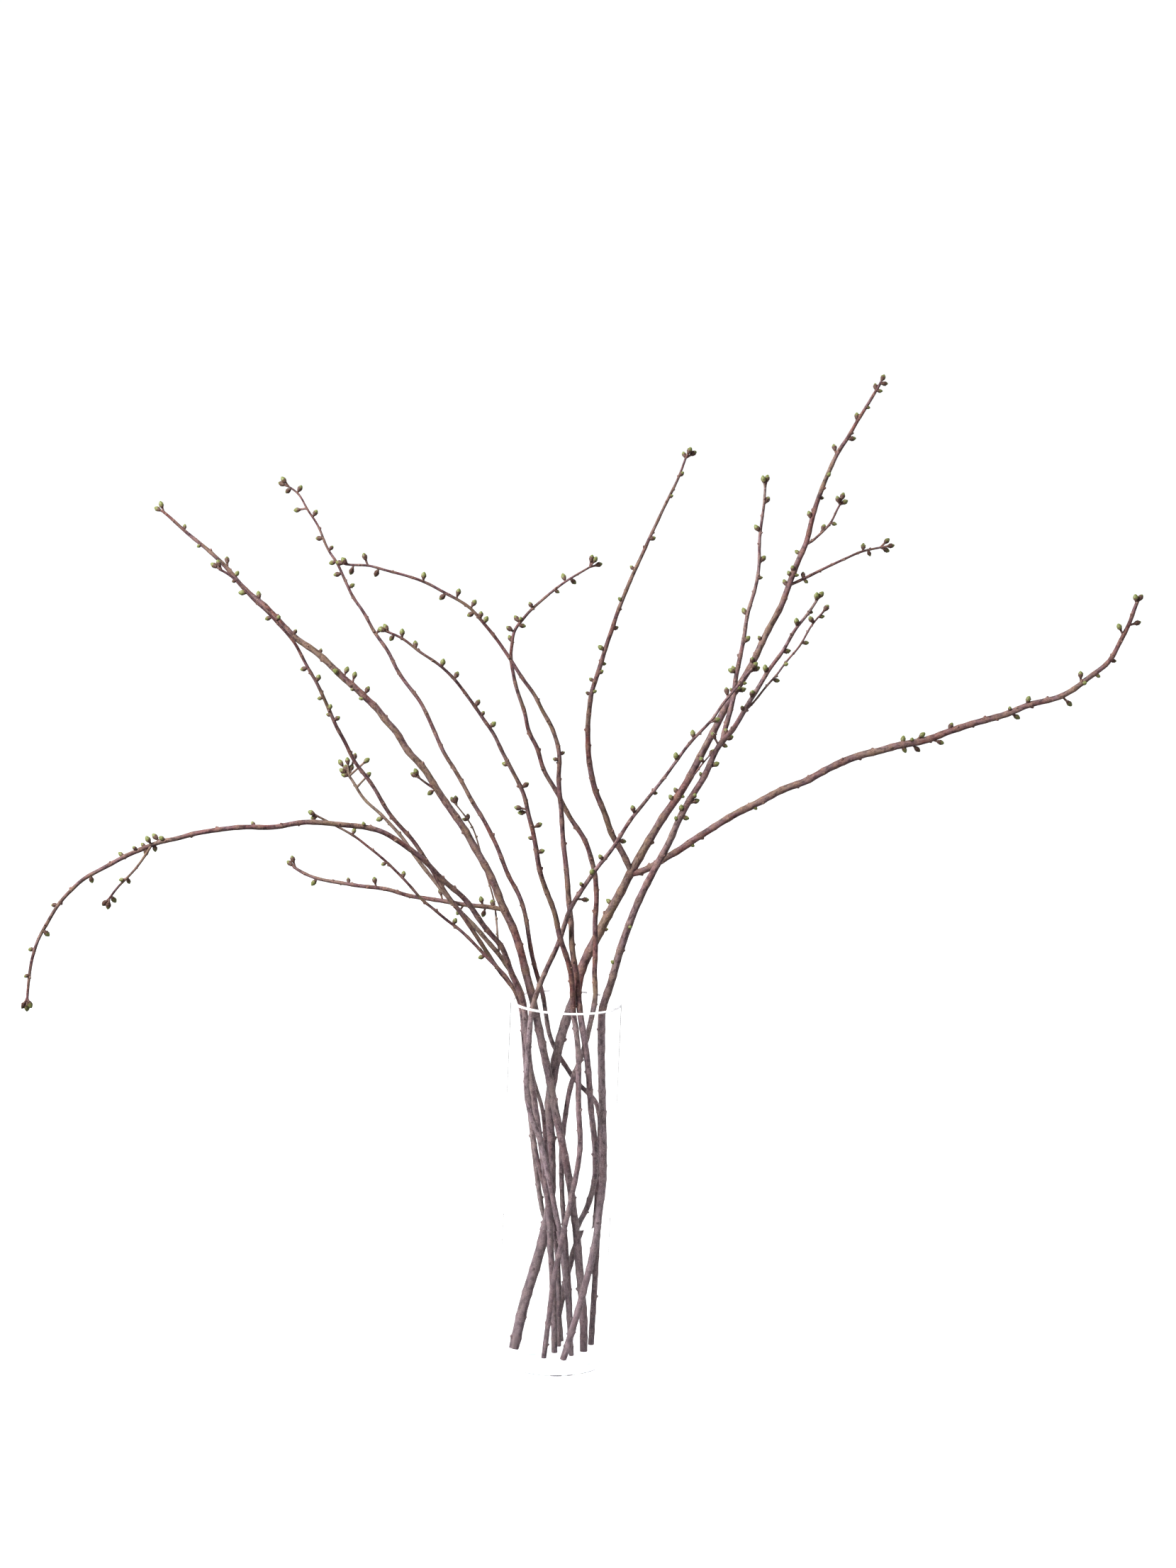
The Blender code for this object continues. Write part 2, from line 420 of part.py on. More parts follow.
def smooth_chain(points, step):
    """Points every step or so on a Catmull-Rom curve through the given ones."""
    padded = [points[0] * 2 - points[1], *points, points[-1] * 2 - points[-2]]
    dense = []
    for a, b, c, d in zip(padded, padded[1:], padded[2:], padded[3:]):
        for part in range(8):
            t = part / 8
            bend = (a * 2 - b * 5 + c * 4 - d) * t * t + (b * 3 - a - c * 3 + d) * t * t * t
            dense.append((b * 2 + (c - a) * t + bend) / 2)
    dense.append(points[-1].copy())
    shares = fractions_along(dense)
    length = sum((after - before).length for before, after in zip(dense, dense[1:]))
    count = max(2, round(length / step))
    chain = []
    index = 0
    for ring in range(count):
        target = ring / count
        while shares[index + 1] < target:
            index += 1
        blend = (target - shares[index]) / (shares[index + 1] - shares[index])
        chain.append(dense[index].lerp(dense[index + 1], blend))
    chain.append(dense[-1])
    return chain


def route_of(shoot, root=None):
    """A shoot's points in space: those in the vase, then those seen above it, from its root if it has one."""
    flat = [Vector(reading) for reading in shoot.seen]
    points = [Vector(point) for point in shoot.held]
    for reading, fraction in zip(flat, fractions_along(flat)):
        points.append(sighted(reading.x, reading.y, spread(shoot.behind, fraction)))
    if root is not None:
        points[0] = root
    return points


def off_chord(point, start, end):
    """How far a point lies from the straight run between two others."""
    run = end - start
    share = min(max((point - start).dot(run) / run.length_squared, 0.0), 1.0)
    return (point - start - run * share).length


def ring_centres(curve):
    """The fewest of a smooth curve's points whose straight runs stay within the chord error of it."""
    kept = [0]
    while kept[-1] < len(curve) - 1:
        start = kept[-1]
        end = start + 1
        while end + 1 < len(curve) and (curve[end + 1] - curve[start]).length < LONGEST_RUN:
            run = range(start + 1, end + 1)
            if max(off_chord(curve[index], curve[start], curve[end + 1]) for index in run) > CHORD_ERROR:
                break
            end += 1
        kept.append(end)
    return [curve[index] for index in kept]


def along_runs(chain):
    """Closely spaced points on the straight runs between ring centres."""
    points = []
    for start, end in zip(chain, chain[1:]):
        count = max(1, round((end - start).length / CURVE_STEP))
        points += [start.lerp(end, index / count) for index in range(count)]
    return [*points, chain[-1]]


def nearest_index(chain, reading):
    """The chain's point that is seen nearest to a reading."""
    return min(range(len(chain)), key=lambda index: (reading_of(chain[index]) - reading).length)


def square_frames(chain):
    """A sideways direction for each point of the chain, turning as little as it can."""
    sideways = Vector((0.0, 1.0, 0.0))
    frames = []
    for index, point in enumerate(chain):
        before = chain[max(index - 1, 0)]
        after = chain[min(index + 1, len(chain) - 1)]
        forward = (after - before).normalized()
        sideways = (sideways - forward * sideways.dot(forward)).normalized()
        frames.append((forward, sideways, forward.cross(sideways)))
    return frames


def ringed_mesh(name, rings):
    """A closed mesh through rings of points in millimetres, where an end ring may be a single point."""
    work = bmesh.new()
    loops = [[work.verts.new(point * MM) for point in ring] for ring in rings]
    sides = max(len(loop) for loop in loops)
    for lower, upper in zip(loops, loops[1:]):
        for side in range(sides):
            other = (side + 1) % sides
            corners = (lower[side % len(lower)], lower[other % len(lower)],
                       upper[other % len(upper)], upper[side % len(upper)])
            work.faces.new(list(dict.fromkeys(corners)))
    for end in (loops[0], loops[-1]):
        if len(end) > 1:
            work.faces.new(end)
    bmesh.ops.triangulate(work, faces=work.faces[:])
    bmesh.ops.recalc_face_normals(work, faces=work.faces[:])
    mesh = bpy.data.meshes.new(name)
    work.to_mesh(mesh)
    work.free()
    return mesh


def ring_at(centre, sideways, upwards, radius, sides):
    """A ring of points round a centre, widened so that its sides keep the round stem's area."""
    widened = radius * math.sqrt(2 * math.pi / (sides * math.sin(2 * math.pi / sides)))
    ring = []
    for side in range(sides):
        angle = 2 * math.pi * side / sides
        ring.append(centre + (sideways * math.cos(angle) + upwards * math.sin(angle)) * widened)
    return ring


def stem_mesh(name, chain, radii, sides, level_foot, extra=0.0):
    """A tapering stem along a chain, its foot cut level where it stands on the vase's floor."""
    rings = []
    shares = fractions_along(chain)
    for point, share, (forward, sideways, upwards) in zip(chain, shares, square_frames(chain)):
        rings.append(ring_at(point, sideways, upwards, spread(radii, share) + extra, sides))
    if level_foot:
        foot_height = chain[0].z
        for point in rings[0]:
            point.z = foot_height
    return ringed_mesh(name, rings)


def bud_mesh(name, root, tip):
    """A pointed four-sided bud that widens from a point inside the stem, or stands on a stalk if it is long."""
    forward = (tip - root).normalized()
    length = (tip - root).length
    sideways = forward.orthogonal().normalized()
    upwards = forward.cross(sideways)
    bud_length = min(length, BUD_LENGTH)
    belly_radius = bud_length * BUD_FATNESS
    rings = [[root]]
    if length > BUD_LENGTH + 2.0:
        neck = tip - forward * bud_length
        rings = [ring_at(root, sideways, upwards, BUD_ROOT_RADIUS, BUD_SIDES)]
        rings.append(ring_at(neck, sideways, upwards, STALK_RADIUS, BUD_SIDES))
    belly = tip - forward * bud_length * 0.58
    rings.append(ring_at(belly, sideways, upwards, belly_radius, BUD_SIDES))
    rings.append([tip])
    return ringed_mesh(name, rings)


def bud_ends(chain, radii, reading, length, order):
    """A bud's root on the stem's middle and its tip in space, from where the tip is seen."""
    index = nearest_index(chain, reading)
    shares = fractions_along(chain)
    aside = (reading_of(chain[index]) - reading).length
    at_end = index == len(chain) - 1
    radius = spread(radii, shares[index])
    reach = max(length, aside + 1.0)
    clear = radius + 3.0
    toward_viewer = math.sqrt(max(clear * clear - aside * aside, 0.0))
    lean = -toward_viewer if toward_viewer > SIDE_LEAN and not at_end else SIDE_LEAN * (-1) ** order
    tip = sighted(reading.x, reading.y, chain[index].y + lean)
    slide = END_SINK if at_end else math.sqrt(max(reach * reach - aside * aside - lean * lean, 0.0))
    root = chain[index]
    while slide > 0.0 and index > 0:
        stretch = (chain[index] - chain[index - 1]).length
        root = chain[index].lerp(chain[index - 1], min(slide / stretch, 1.0))
        slide -= stretch
        index -= 1
    return root, tip


def grow(name, shoot, sides, root=None):
    """The objects of a shoot: its stem first, then its buds and its arms with theirs."""
    chain = ring_centres(smooth_chain(route_of(shoot, root), CURVE_STEP))
    fine = along_runs(chain)
    grown = [add_object(name, stem_mesh(name, chain, shoot.radii, sides, level_foot=bool(shoot.held)))]
    for order, (across, up, length) in enumerate(shoot.buds):
        foot, tip = bud_ends(fine, shoot.radii, Vector((across, up)), length, order)
        bud_name = f"{name}_bud_{order:02d}"
        grown.append(add_object(bud_name, bud_mesh(bud_name, foot, tip)))
    for order, arm in enumerate(shoot.arms):
        joint = fine[nearest_index(fine, Vector(arm.seen[0]))]
        grown += grow(f"{name}_arm_{order}", arm, 5, root=joint)
    return grown


def whole_piece(start):
    """All the vertices that hang together with one of them."""
    found = {start}
    waiting = [start]
    while waiting:
        vertex = waiting.pop()
        for edge in vertex.link_edges:
            other = edge.other_vert(vertex)
            if other not in found:
                found.add(other)
                waiting.append(other)
    return found


def tidy_fused(mesh):
    """Split a fused mesh into triangles and drop whatever doesn't hang together with its largest piece."""
    work = bmesh.new()
    work.from_mesh(mesh)
    bmesh.ops.triangulate(work, faces=work.faces[:])
    left = set(work.verts)
    pieces = []
    while left:
        pieces.append(whole_piece(next(iter(left))))
        left -= pieces[-1]
    pieces.sort(key=len, reverse=True)
    for piece in pieces[1:]:
        bmesh.ops.delete(work, geom=list(piece), context="VERTS")
    work.to_mesh(mesh)
    work.free()


def fuse(stem, others):
    """Join a branch's arms and buds to its stem by one union, and remove their own objects."""
    gathered = bpy.data.collections.new(f"{stem.name}_growth")
    bpy.context.scene.collection.children.link(gathered)
    for other in others:
        bpy.context.scene.collection.objects.unlink(other)
        gathered.objects.link(other)
    union = stem.modifiers.new("growth", "BOOLEAN")
    union.operation = "UNION"
    union.operand_type = "COLLECTION"
    union.collection = gathered
    union.solver = "EXACT"
    graph = bpy.context.evaluated_depsgraph_get()
    graph.update()
    joined = bpy.data.meshes.new_from_object(stem.evaluated_get(graph))
    stem.modifiers.clear()
    stem.data = joined
    tidy_fused(joined)
    for other in others:
        bpy.data.objects.remove(other, do_unlink=True)
    bpy.data.collections.remove(gathered)


def branch(name, shoot, sides, colour):
    """One whole branch as a single solid with its own bark material."""
    grown = grow(name, shoot, sides)
    fuse(grown[0], grown[1:])
    grown[0].data.materials.clear()
    grown[0].data.materials.append(plain_material(f"{name}_bark", colour, 0.6))
    return grown[0]


def turned_mesh(name, profile, segments):
    """A round solid turned from (radius, height) points that run down its outer side and up its inner side."""
    work = bmesh.new()
    rows = []
    for radius, height in profile:
        if radius == 0.0:
            rows.append([work.verts.new((0.0, 0.0, height))])
            continue
        row = []
        for segment in range(segments):
            angle = 2 * math.pi * segment / segments
            row.append(work.verts.new((radius * math.cos(angle), radius * math.sin(angle), height)))
        rows.append(row)
    for upper, lower in zip(rows, rows[1:]):
        for segment in range(segments):
            other = (segment + 1) % segments
            corners = [upper[segment % len(upper)], upper[other % len(upper)]]
            corners += [lower[other % len(lower)], lower[segment % len(lower)]]
            unique = list(dict.fromkeys(corners))
            work.faces.new(unique)
    bmesh.ops.recalc_face_normals(work, faces=work.faces[:])
    mesh = bpy.data.meshes.new(name)
    work.to_mesh(mesh)
    work.free()
    mesh.shade_smooth()
    mesh.set_sharp_from_angle(angle=math.radians(40))
    return mesh


def vase():
    """The straight glass cylinder with its thick floor and softened edges."""
    inner = VASE_RADIUS - WALL
    edge = GLASS_EDGE
    profile = (
        (0.0, GLASS_FLOOR),
        (inner, GLASS_FLOOR),
        (inner, VASE_HEIGHT - edge),
        (inner + edge, VASE_HEIGHT),
        (VASE_RADIUS - edge, VASE_HEIGHT),
        (VASE_RADIUS, VASE_HEIGHT - edge),
        (VASE_RADIUS, edge),
        (VASE_RADIUS - edge, 0.0),
        (0.0, 0.0),
    )
    thing = add_object("vase", turned_mesh("vase", profile, VASE_SEGMENTS))
    thing.data.materials.append(plain_material("clear_glass", (0.93, 0.96, 0.95), 0.03, alpha=0.3))
    return thing


def stem_hole(name, shoot, sides):
    """A cutter a little wider than a stem, from below the water to above it."""
    chain = ring_centres(smooth_chain(route_of(shoot), CURVE_STEP))
    top = next(index for index, point in enumerate(chain) if point.z > WATER_LEVEL / MM + 12.0)
    lengths = fractions_along(chain)
    rings = []
    for index, (forward, sideways, upwards) in enumerate(square_frames(chain)[:top + 1]):
        radius = spread(shoot.radii, lengths[index]) + HOLE_CLEARANCE
        rings.append(ring_at(chain[index], sideways, upwards, radius, sides))
    below = [point.copy() for point in rings[0]]
    for point, under in zip(rings[0], below):
        point.z = chain[0].z
        under.z = chain[0].z - 6.0
    cutter = add_object(name, ringed_mesh(name, [below, *rings]))
    cutter.hide_render = True
    cutter.display_type = "WIRE"
    return cutter


def water():
    """The column of water, with a plain hole for each stem to stand in."""
    radius = VASE_RADIUS - WALL - SEAT_GAP
    bottom = GLASS_FLOOR + SEAT_GAP
    profile = ((0.0, WATER_LEVEL), (radius, WATER_LEVEL), (radius, bottom), (0.0, bottom))
    thing = add_object("water", turned_mesh("water", profile, VASE_SEGMENTS))
    cutters = [stem_hole(f"{name}_hole", shoot, sides) for name, shoot, sides, colour in BRANCHES]
    gathered = bpy.data.collections.new("stem_holes")
    bpy.context.scene.collection.children.link(gathered)
    for cutter in cutters:
        bpy.context.scene.collection.objects.unlink(cutter)
        gathered.objects.link(cutter)
    cut = thing.modifiers.new("stem_holes", "BOOLEAN")
    cut.operation = "DIFFERENCE"
    cut.operand_type = "COLLECTION"
    cut.collection = gathered
    cut.solver = "EXACT"
    thing.data.materials.append(plain_material("still_water", (0.86, 0.91, 0.89), 0.02, alpha=0.3))
    return thing


def main():
    """Build the vase, the water and the twelve branches."""
    clear_scene()
    vase()
    water()
    for name, shoot, sides, colour in BRANCHES:
        branch(name, shoot, sides, colour)


main()
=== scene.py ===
"""Cherry branches in swelling bud, dressed in their bark and buds, in a clear glass cylinder with water.

Every branch replaces its plain solid by a smooth stem with bark relief, bud-scar knobs and scaly buds. World
units are metres and +Z is up. Above the rim the branches are laid out as a standing viewer sees them: a
reading (across, up), in millimetres, is a point of the upright plane through the vase's axis, and "behind" is
how far past that plane, along the same line of sight, the wood lies. Inside the vase the points are plain
(x, y, z).
"""

import logging
import math
import random
from dataclasses import dataclass, field
from enum import Enum

import bpy
import bmesh
from mathutils import Euler, Matrix, Quaternion, Vector


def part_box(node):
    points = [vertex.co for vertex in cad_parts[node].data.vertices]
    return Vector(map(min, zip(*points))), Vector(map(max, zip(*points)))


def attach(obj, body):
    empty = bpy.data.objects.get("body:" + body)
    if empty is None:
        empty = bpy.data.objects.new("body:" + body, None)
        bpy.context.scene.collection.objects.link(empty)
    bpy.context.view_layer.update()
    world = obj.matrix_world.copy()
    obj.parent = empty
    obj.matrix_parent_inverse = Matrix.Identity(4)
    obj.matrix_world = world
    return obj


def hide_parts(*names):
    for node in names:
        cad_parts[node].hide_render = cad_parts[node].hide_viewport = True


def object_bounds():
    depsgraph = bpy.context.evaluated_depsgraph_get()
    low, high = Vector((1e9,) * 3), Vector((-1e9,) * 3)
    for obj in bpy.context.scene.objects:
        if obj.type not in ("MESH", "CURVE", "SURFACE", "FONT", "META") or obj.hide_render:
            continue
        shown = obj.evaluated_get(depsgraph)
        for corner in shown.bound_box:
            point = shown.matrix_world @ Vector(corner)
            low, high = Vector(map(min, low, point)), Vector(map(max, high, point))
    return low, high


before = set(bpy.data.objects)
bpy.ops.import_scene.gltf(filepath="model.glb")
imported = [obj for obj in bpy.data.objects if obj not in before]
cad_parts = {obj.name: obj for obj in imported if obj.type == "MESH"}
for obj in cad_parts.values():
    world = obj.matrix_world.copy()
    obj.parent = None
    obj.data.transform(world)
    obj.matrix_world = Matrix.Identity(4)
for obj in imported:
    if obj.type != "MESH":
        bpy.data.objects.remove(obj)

CAD_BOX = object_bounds()
VASE_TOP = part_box("vase")[1].z

log = logging.getLogger("cherry_branches")

MM = 0.001

# How far the stems' feet and the studio's floor keep from the vase, in metres.
SEAT_GAP = 0.0003

# The viewer's eye, in millimetres, and how the camera is held there.
EYE_ACROSS = 13.0
EYE_AWAY = 2900.0
EYE_UP = 1027.0
EYE_PITCH = -7.65
EYE_ROLL = 2.56
LENS = 62.92
FILM_LENGTH = 36.0

# Fineness of the stems, in millimetres.
CURVE_STEP = 3.0
EASINGS = 14
STEM_SIDES = 14
TWIG_SIDES = 10

# Buds and their places, in millimetres: a tip stands TIP_ROOM off the stem's skin, and what is left between
# the stem and a bud of full length is a stalk.
BUD_LENGTH = 8.8
BUD_SHORTEST = 6.6
BUD_FATNESS = 0.335
SIDE_LEAN = 2.2
TIP_ROOM = 3.0
END_SINK = 2.6
STALK_RADIUS = 1.15

# Knobs: the room between them, in millimetres, on stems that stand in the vase and on arms, the turn from one
# to the next, in radians, their sizes, how deep they sit and how much the stem swells under them.
STEM_SPACING = (14.0, 30.0)
ARM_SPACING = (10.0, 20.0)
END_ROOM = 12.0
KNOB_TURN = 2.4
KNOB_SIZES = (0.85, 1.50)
KNOB_SINK = 0.86
KNOB_FATNESS = 0.62
SWELLING = 0.10

# The largest random turn, in radians, and the farthest that a stem's grain may start, in millimetres.
FULL_TURN = 6.28
LONGEST_START = 9000.0

# Wood this thin, in millimetres, is young, and wood thicker by AGEING is old.
YOUNG_GIRTH = 1.6
AGEING = 2.6

# Stems thicker than this at the foot, in millimetres, get the finer skin.
THICK_STEM = 3.5
SKIN_UNEVENNESS = 0.26

# Glass and water bend light less than real ones, so that the stems are seen straight through them.
CLEAR = {"Transmission Weight": 1.0, "IOR": 1.04, "Roughness": 0.0}

# Edges that bend more than this, in degrees, stay crisp on the glass and the water.
SHARP_ANGLE = 25.0


@dataclass(frozen=True)
class Shoot:
    """One stem, arm or twig: its route, how far it lies behind the viewing plane, its radii and its buds."""

    seen: tuple
    behind: tuple
    radii: tuple
    buds: tuple = ()
    held: tuple = ()
    arms: tuple = ()


# Every bud is (across, up, length) of its tip, in millimetres, read on the viewing plane.

LEFT_TALL_SIDE_ARM = Shoot(
    seen=((-71, 497), (-88, 500), (-104, 500), (-124, 502), (-138, 504), (-158, 506), (-177, 508),
          (-191, 513), (-207, 515), (-227, 516), (-242, 518), (-259, 520), (-269, 521), (-288, 527),
          (-299, 534)),
    behind=(42, 48, 54, 60),
    radii=(2.5, 2.3, 2.1, 1.7),
    buds=((-85, 508, 7), (-97, 511, 8), (-94, 488, 8), (-122, 489, 9), (-141, 518, 9), (-212, 527, 9),
          (-240, 525, 8), (-279, 514, 8), (-306, 540, 10), (-301, 546, 9)),
)
LEFT_TALL_SPUR = Shoot(
    seen=((-147, 624), (-155, 627), (-162, 632), (-169, 637)),
    behind=(57, 50),
    radii=(1.5, 1.1),
    buds=((-177, 641, 9), (-173, 646, 8), (-158, 618, 7)),
)
LEFT_TALL = Shoot(
    held=((34.5, 0, 10.3), (32.5, 3, 50), (26, 8, 100), (20, 13, 150), (13, 16, 192), (3.5, 18, 233),
          (-7, 20, 274), (-13, 22, 300), (-18, 25, 320), (-28, 29.3, 358), (-38.3, 32.3, 400)),
    seen=((-43, 423), (-51, 452), (-60, 477), (-71, 497), (-80.8, 520.1), (-86.8, 534.1), (-103.8, 561.1),
          (-117.8, 584.1), (-133.8, 605.1), (-149.8, 627.1), (-162.8, 647.1), (-181.8, 665.1),
          (-193.8, 686.1), (-204.8, 694.1), (-213.8, 708.1), (-226.8, 718.1), (-237.8, 729.1),
          (-252.8, 740.1), (-270.8, 757.1), (-287.8, 770.1), (-303.8, 779.1), (-325.8, 801.1),
          (-339.8, 815.1), (-352.8, 823.1), (-367.8, 838.1), (-378.8, 851.1), (-400.8, 870.1),
          (-411.8, 878.1), (-423.8, 887.1), (-442, 903), (-449, 908)),
    behind=(36, 50, 62, 74, 90),
    radii=(4.1, 4.1, 4.3, 3.7, 3.4, 1.5),
    buds=((-457, 911, 9), (-451, 918, 9), (-424, 895, 7), (-411, 871, 6), (-379, 863, 12), (-366, 848, 6),
          (-345, 828, 12), (-303, 789, 9), (-276, 770, 6), (-263, 748, 11), (-247, 752, 9), (-239, 747, 9),
          (-244, 727, 8), (-235, 718, 9), (-224, 732, 11)),
    arms=(LEFT_TALL_SIDE_ARM, LEFT_TALL_SPUR),
)

LEFT_ARCH_SPUR = Shoot(
    seen=((-451, 548), (-459, 537), (-467, 525), (-478, 512), (-487, 504), (-492, 495), (-497, 488)),
    behind=(-140, -132),
    radii=(1.4, 1.25, 1.25),
    buds=((-474, 507, 8), (-486, 511, 7), (-503, 482, 9), (-497, 478, 9), (-488, 486, 8)),
)
LEFT_ARCH = Shoot(
    held=((4, -8, 10.3), (1, -9, 60), (-4, -11, 120), (-10, -13, 180), (-17, -15, 225), (-23, -16, 258),
          (-29, -18, 290), (-35, -20, 325), (-40, -22, 362), (-45.3, -24.6, 400)),
    seen=((-60, 427), (-64, 438), (-72, 458), (-84, 469), (-97, 485), (-113, 507), (-130, 520), (-143, 531),
          (-156, 545), (-169, 555), (-183, 564), (-194, 571), (-206, 577), (-220, 580), (-233, 581),
          (-254, 582), (-269, 583), (-289, 583), (-302, 580), (-324, 575), (-348, 575), (-371, 572),
          (-397, 567), (-410, 564), (-425, 558), (-439, 556), (-446, 553), (-463, 545), (-478, 538),
          (-491, 530), (-506, 521), (-525, 510), (-534, 500), (-544, 490), (-553, 477), (-561, 462),
          (-566, 452), (-571, 444), (-574, 434), (-578, 419), (-580, 403), (-581, 392), (-582, 374)),
    behind=(-27, -75, -110, -140, -160),
    radii=(3.2, 3.2, 3.0, 2.8, 2.4, 1.5),
    buds=((-588, 365, 9), (-577, 366, 9), (-582, 362, 10), (-586, 400, 6), (-582, 430, 8), (-559, 446, 7),
          (-558, 480, 8), (-514, 506, 8), (-487, 541, 7), (-472, 548, 8), (-463, 552, 8), (-458, 560, 10),
          (-451, 563, 9), (-444, 560, 9), (-447, 543, 9), (-457, 538, 8), (-345, 581, 5), (-226, 586, 5)),
    arms=(LEFT_ARCH_SPUR,),
)

LEFT_SLENDER = Shoot(
    held=((8, 14, 10.3), (4, 8, 100), (-4, 3, 150), (-14, 1, 188), (-27, 1, 236), (-34, 2, 280),
          (-39.5, 2.5, 312), (-44.5, 3, 355), (-50.9, 3.4, 400)),
    seen=((-65.5, 421), (-78, 436), (-91, 455), (-103, 472), (-117, 491), (-133, 511), (-142, 524),
          (-152, 541), (-161, 553), (-171, 568), (-183, 580), (-199, 597), (-216, 625), (-227, 638),
          (-239, 653), (-248, 672), (-257, 685), (-262, 697), (-272, 717), (-279, 732), (-289, 747),
          (-299, 765), (-306, 777), (-324, 795), (-334, 806), (-350, 818), (-358, 827), (-374, 843),
          (-387, 849)),
    behind=(3, -4, -22, -42, -62),
    radii=(2.5, 2.5, 2.3, 2.3, 1.9, 1.3),
    buds=((-396, 855, 10), (-389, 859, 8), (-373, 836, 6), (-366, 825, 9), (-337, 798, 8), (-321, 803, 8),
          (-298, 746, 7), (-277, 742, 9), (-279, 716, 8), (-264, 711, 7), (-269, 700, 7), (-254, 698, 7)),
)

LEFT_BRUSH_TWIG = Shoot(
    seen=((-75, 449), (-76, 462), (-78, 478), (-82, 506), (-91, 533), (-105, 578), (-111, 590), (-128, 610)),
    behind=(24, 58, 78, 96),
    radii=(1.2, 1.0, 0.9),
    buds=((-114, 600, 7), (-120, 594, 7), (-133, 617, 8), (-128, 619, 7)),
)
LEFT_BRUSH = Shoot(
    held=((10, 32, 10.3), (4, 32, 60), (-6, 31, 115), (-18, 28, 165), (-29, 25, 230), (-37, 22, 290),
          (-42, 21, 350), (-47.6, 20.8, 400)),
    seen=((-71, 444), (-83, 457), (-100, 476), (-119, 494), (-138, 515), (-157, 537), (-164, 545),
          (-175, 560), (-183, 571), (-193, 581), (-201, 589), (-206, 595), (-220, 605), (-229, 614),
          (-238, 630), (-244, 637)),
    behind=(24, 32, 40, 46),
    radii=(2.8, 2.8, 2.8, 2.4, 1.5),
    buds=((-254, 652, 8), (-245, 655, 9), (-239, 648, 8), (-253, 642, 8), (-247, 647, 9), (-251, 636, 7),
          (-236, 660, 14), (-221, 655, 13), (-219, 640, 11), (-212, 588, 5), (-160, 555, 5)),
    arms=(LEFT_BRUSH_TWIG,),
)

LEFT_LOW = Shoot(
    held=((21, 8, 10.3), (17, 6, 50), (10, 3, 100), (1, 0, 150), (-7, -3, 188), (-15, -6, 236),
          (-20, -8, 280), (-31, -10, 312), (-39, -12, 346), (-45, -13.5, 372), (-50, -14.5, 400)),
    seen=((-65, 424), (-74, 432), (-86, 443), (-98, 455), (-117, 473), (-134, 484), (-149, 497), (-159, 502),
          (-165, 510), (-177, 523), (-194, 539), (-208, 551), (-221, 560), (-232, 569), (-242, 574),
          (-256, 581), (-269, 587), (-277, 591)),
    behind=(-15, -16, -24, -36),
    radii=(2.4, 2.3, 2.1, 1.6, 1.2),
    buds=((-97, 443, 7), (-122, 486, 8), (-180, 535, 9), (-205, 540, 6), (-234, 579, 9), (-285, 595, 9),
          (-282, 587, 7)),
)

LEFT_UPRIGHT = Shoot(
    held=((41, 24, 10.3), (42, 26, 80), (42.5, 27, 130), (43.2, 28, 170), (43.6, 28, 205), (43.6, 28.4, 240),
          (43, 29.5, 262), (39.5, 34, 279), (32, 41, 286.5), (21.6, 47, 293), (9.9, 50.2, 305),
          (-3.2, 50.8, 323.7), (-13.3, 49.8, 340.5), (-18.6, 48.4, 355), (-22.6, 46.6, 378),
          (-26.7, 44.2, 400)),
    seen=((-33, 428), (-41, 457), (-48, 493), (-57, 517), (-69, 536), (-80, 563), (-98, 596), (-108, 610),
          (-126, 641), (-142, 664), (-155, 691), (-169, 718), (-181, 732), (-195, 750), (-205, 770),
          (-221, 790), (-232, 810), (-246, 827), (-249, 835), (-258, 852), (-261, 861), (-269, 869),
          (-276, 881), (-279, 890), (-286, 904), (-295, 914), (-297, 917), (-304, 932), (-318, 940)),
    behind=(50, 72, 95, 122, 150),
    radii=(3.0, 2.8, 2.5, 2.4, 2.0, 1.05),
    buds=((-327, 943, 9), (-324, 949, 9), (-319, 932, 7), (-302, 941, 9), (-310, 914, 9), (-285, 916, 7),
          (-286, 886, 8), (-267, 879, 8), (-271, 860, 9), (-266, 848, 8), (-243, 840, 8), (-212, 796, 5)),
)

MID_HOOKED = Shoot(
    held=((3, 46, 10.3), (7, 46, 40), (12, 46, 75), (18, 45, 105), (24, 42.5, 130), (31, 35, 155),
          (37, 22, 180), (40, 10, 205), (39, -5, 230), (37, -18, 255), (33, -28, 280), (30, -36, 305),
          (27, -41.5, 335), (22, -46, 365), (15.2, -49.4, 400)),
    seen=((11, 422), (8, 438), (3, 462), (2, 486), (-1, 502), (-3, 518), (-6, 544), (-11, 575), (-14, 606),
          (-17, 627), (-19, 644), (-18, 660), (-19, 671), (-23, 684), (-29, 699), (-40, 715), (-47, 730),
          (-60, 745), (-75, 767), (-93, 791), (-106, 805), (-118, 819), (-130, 826), (-137, 830),
          (-151, 836), (-161, 842), (-178, 848), (-193, 852), (-209, 855), (-221, 858), (-230, 861),
          (-243, 859), (-254, 860)),
    behind=(-48, -34, -38, -48, -62),
    radii=(3.2, 3.2, 3.3, 2.6, 1.85, 1.2),
    buds=((-264, 862, 9), (-258, 867, 9), (-248, 849, 9), (-235, 873, 12), (-222, 848, 8), (-170, 856, 8),
          (-153, 827, 8), (-132, 840, 9), (-123, 811, 8), (-108, 817, 9), (-114, 829, 10), (-101, 812, 7),
          (-13, 671, 5), (-26, 663, 5)),
)

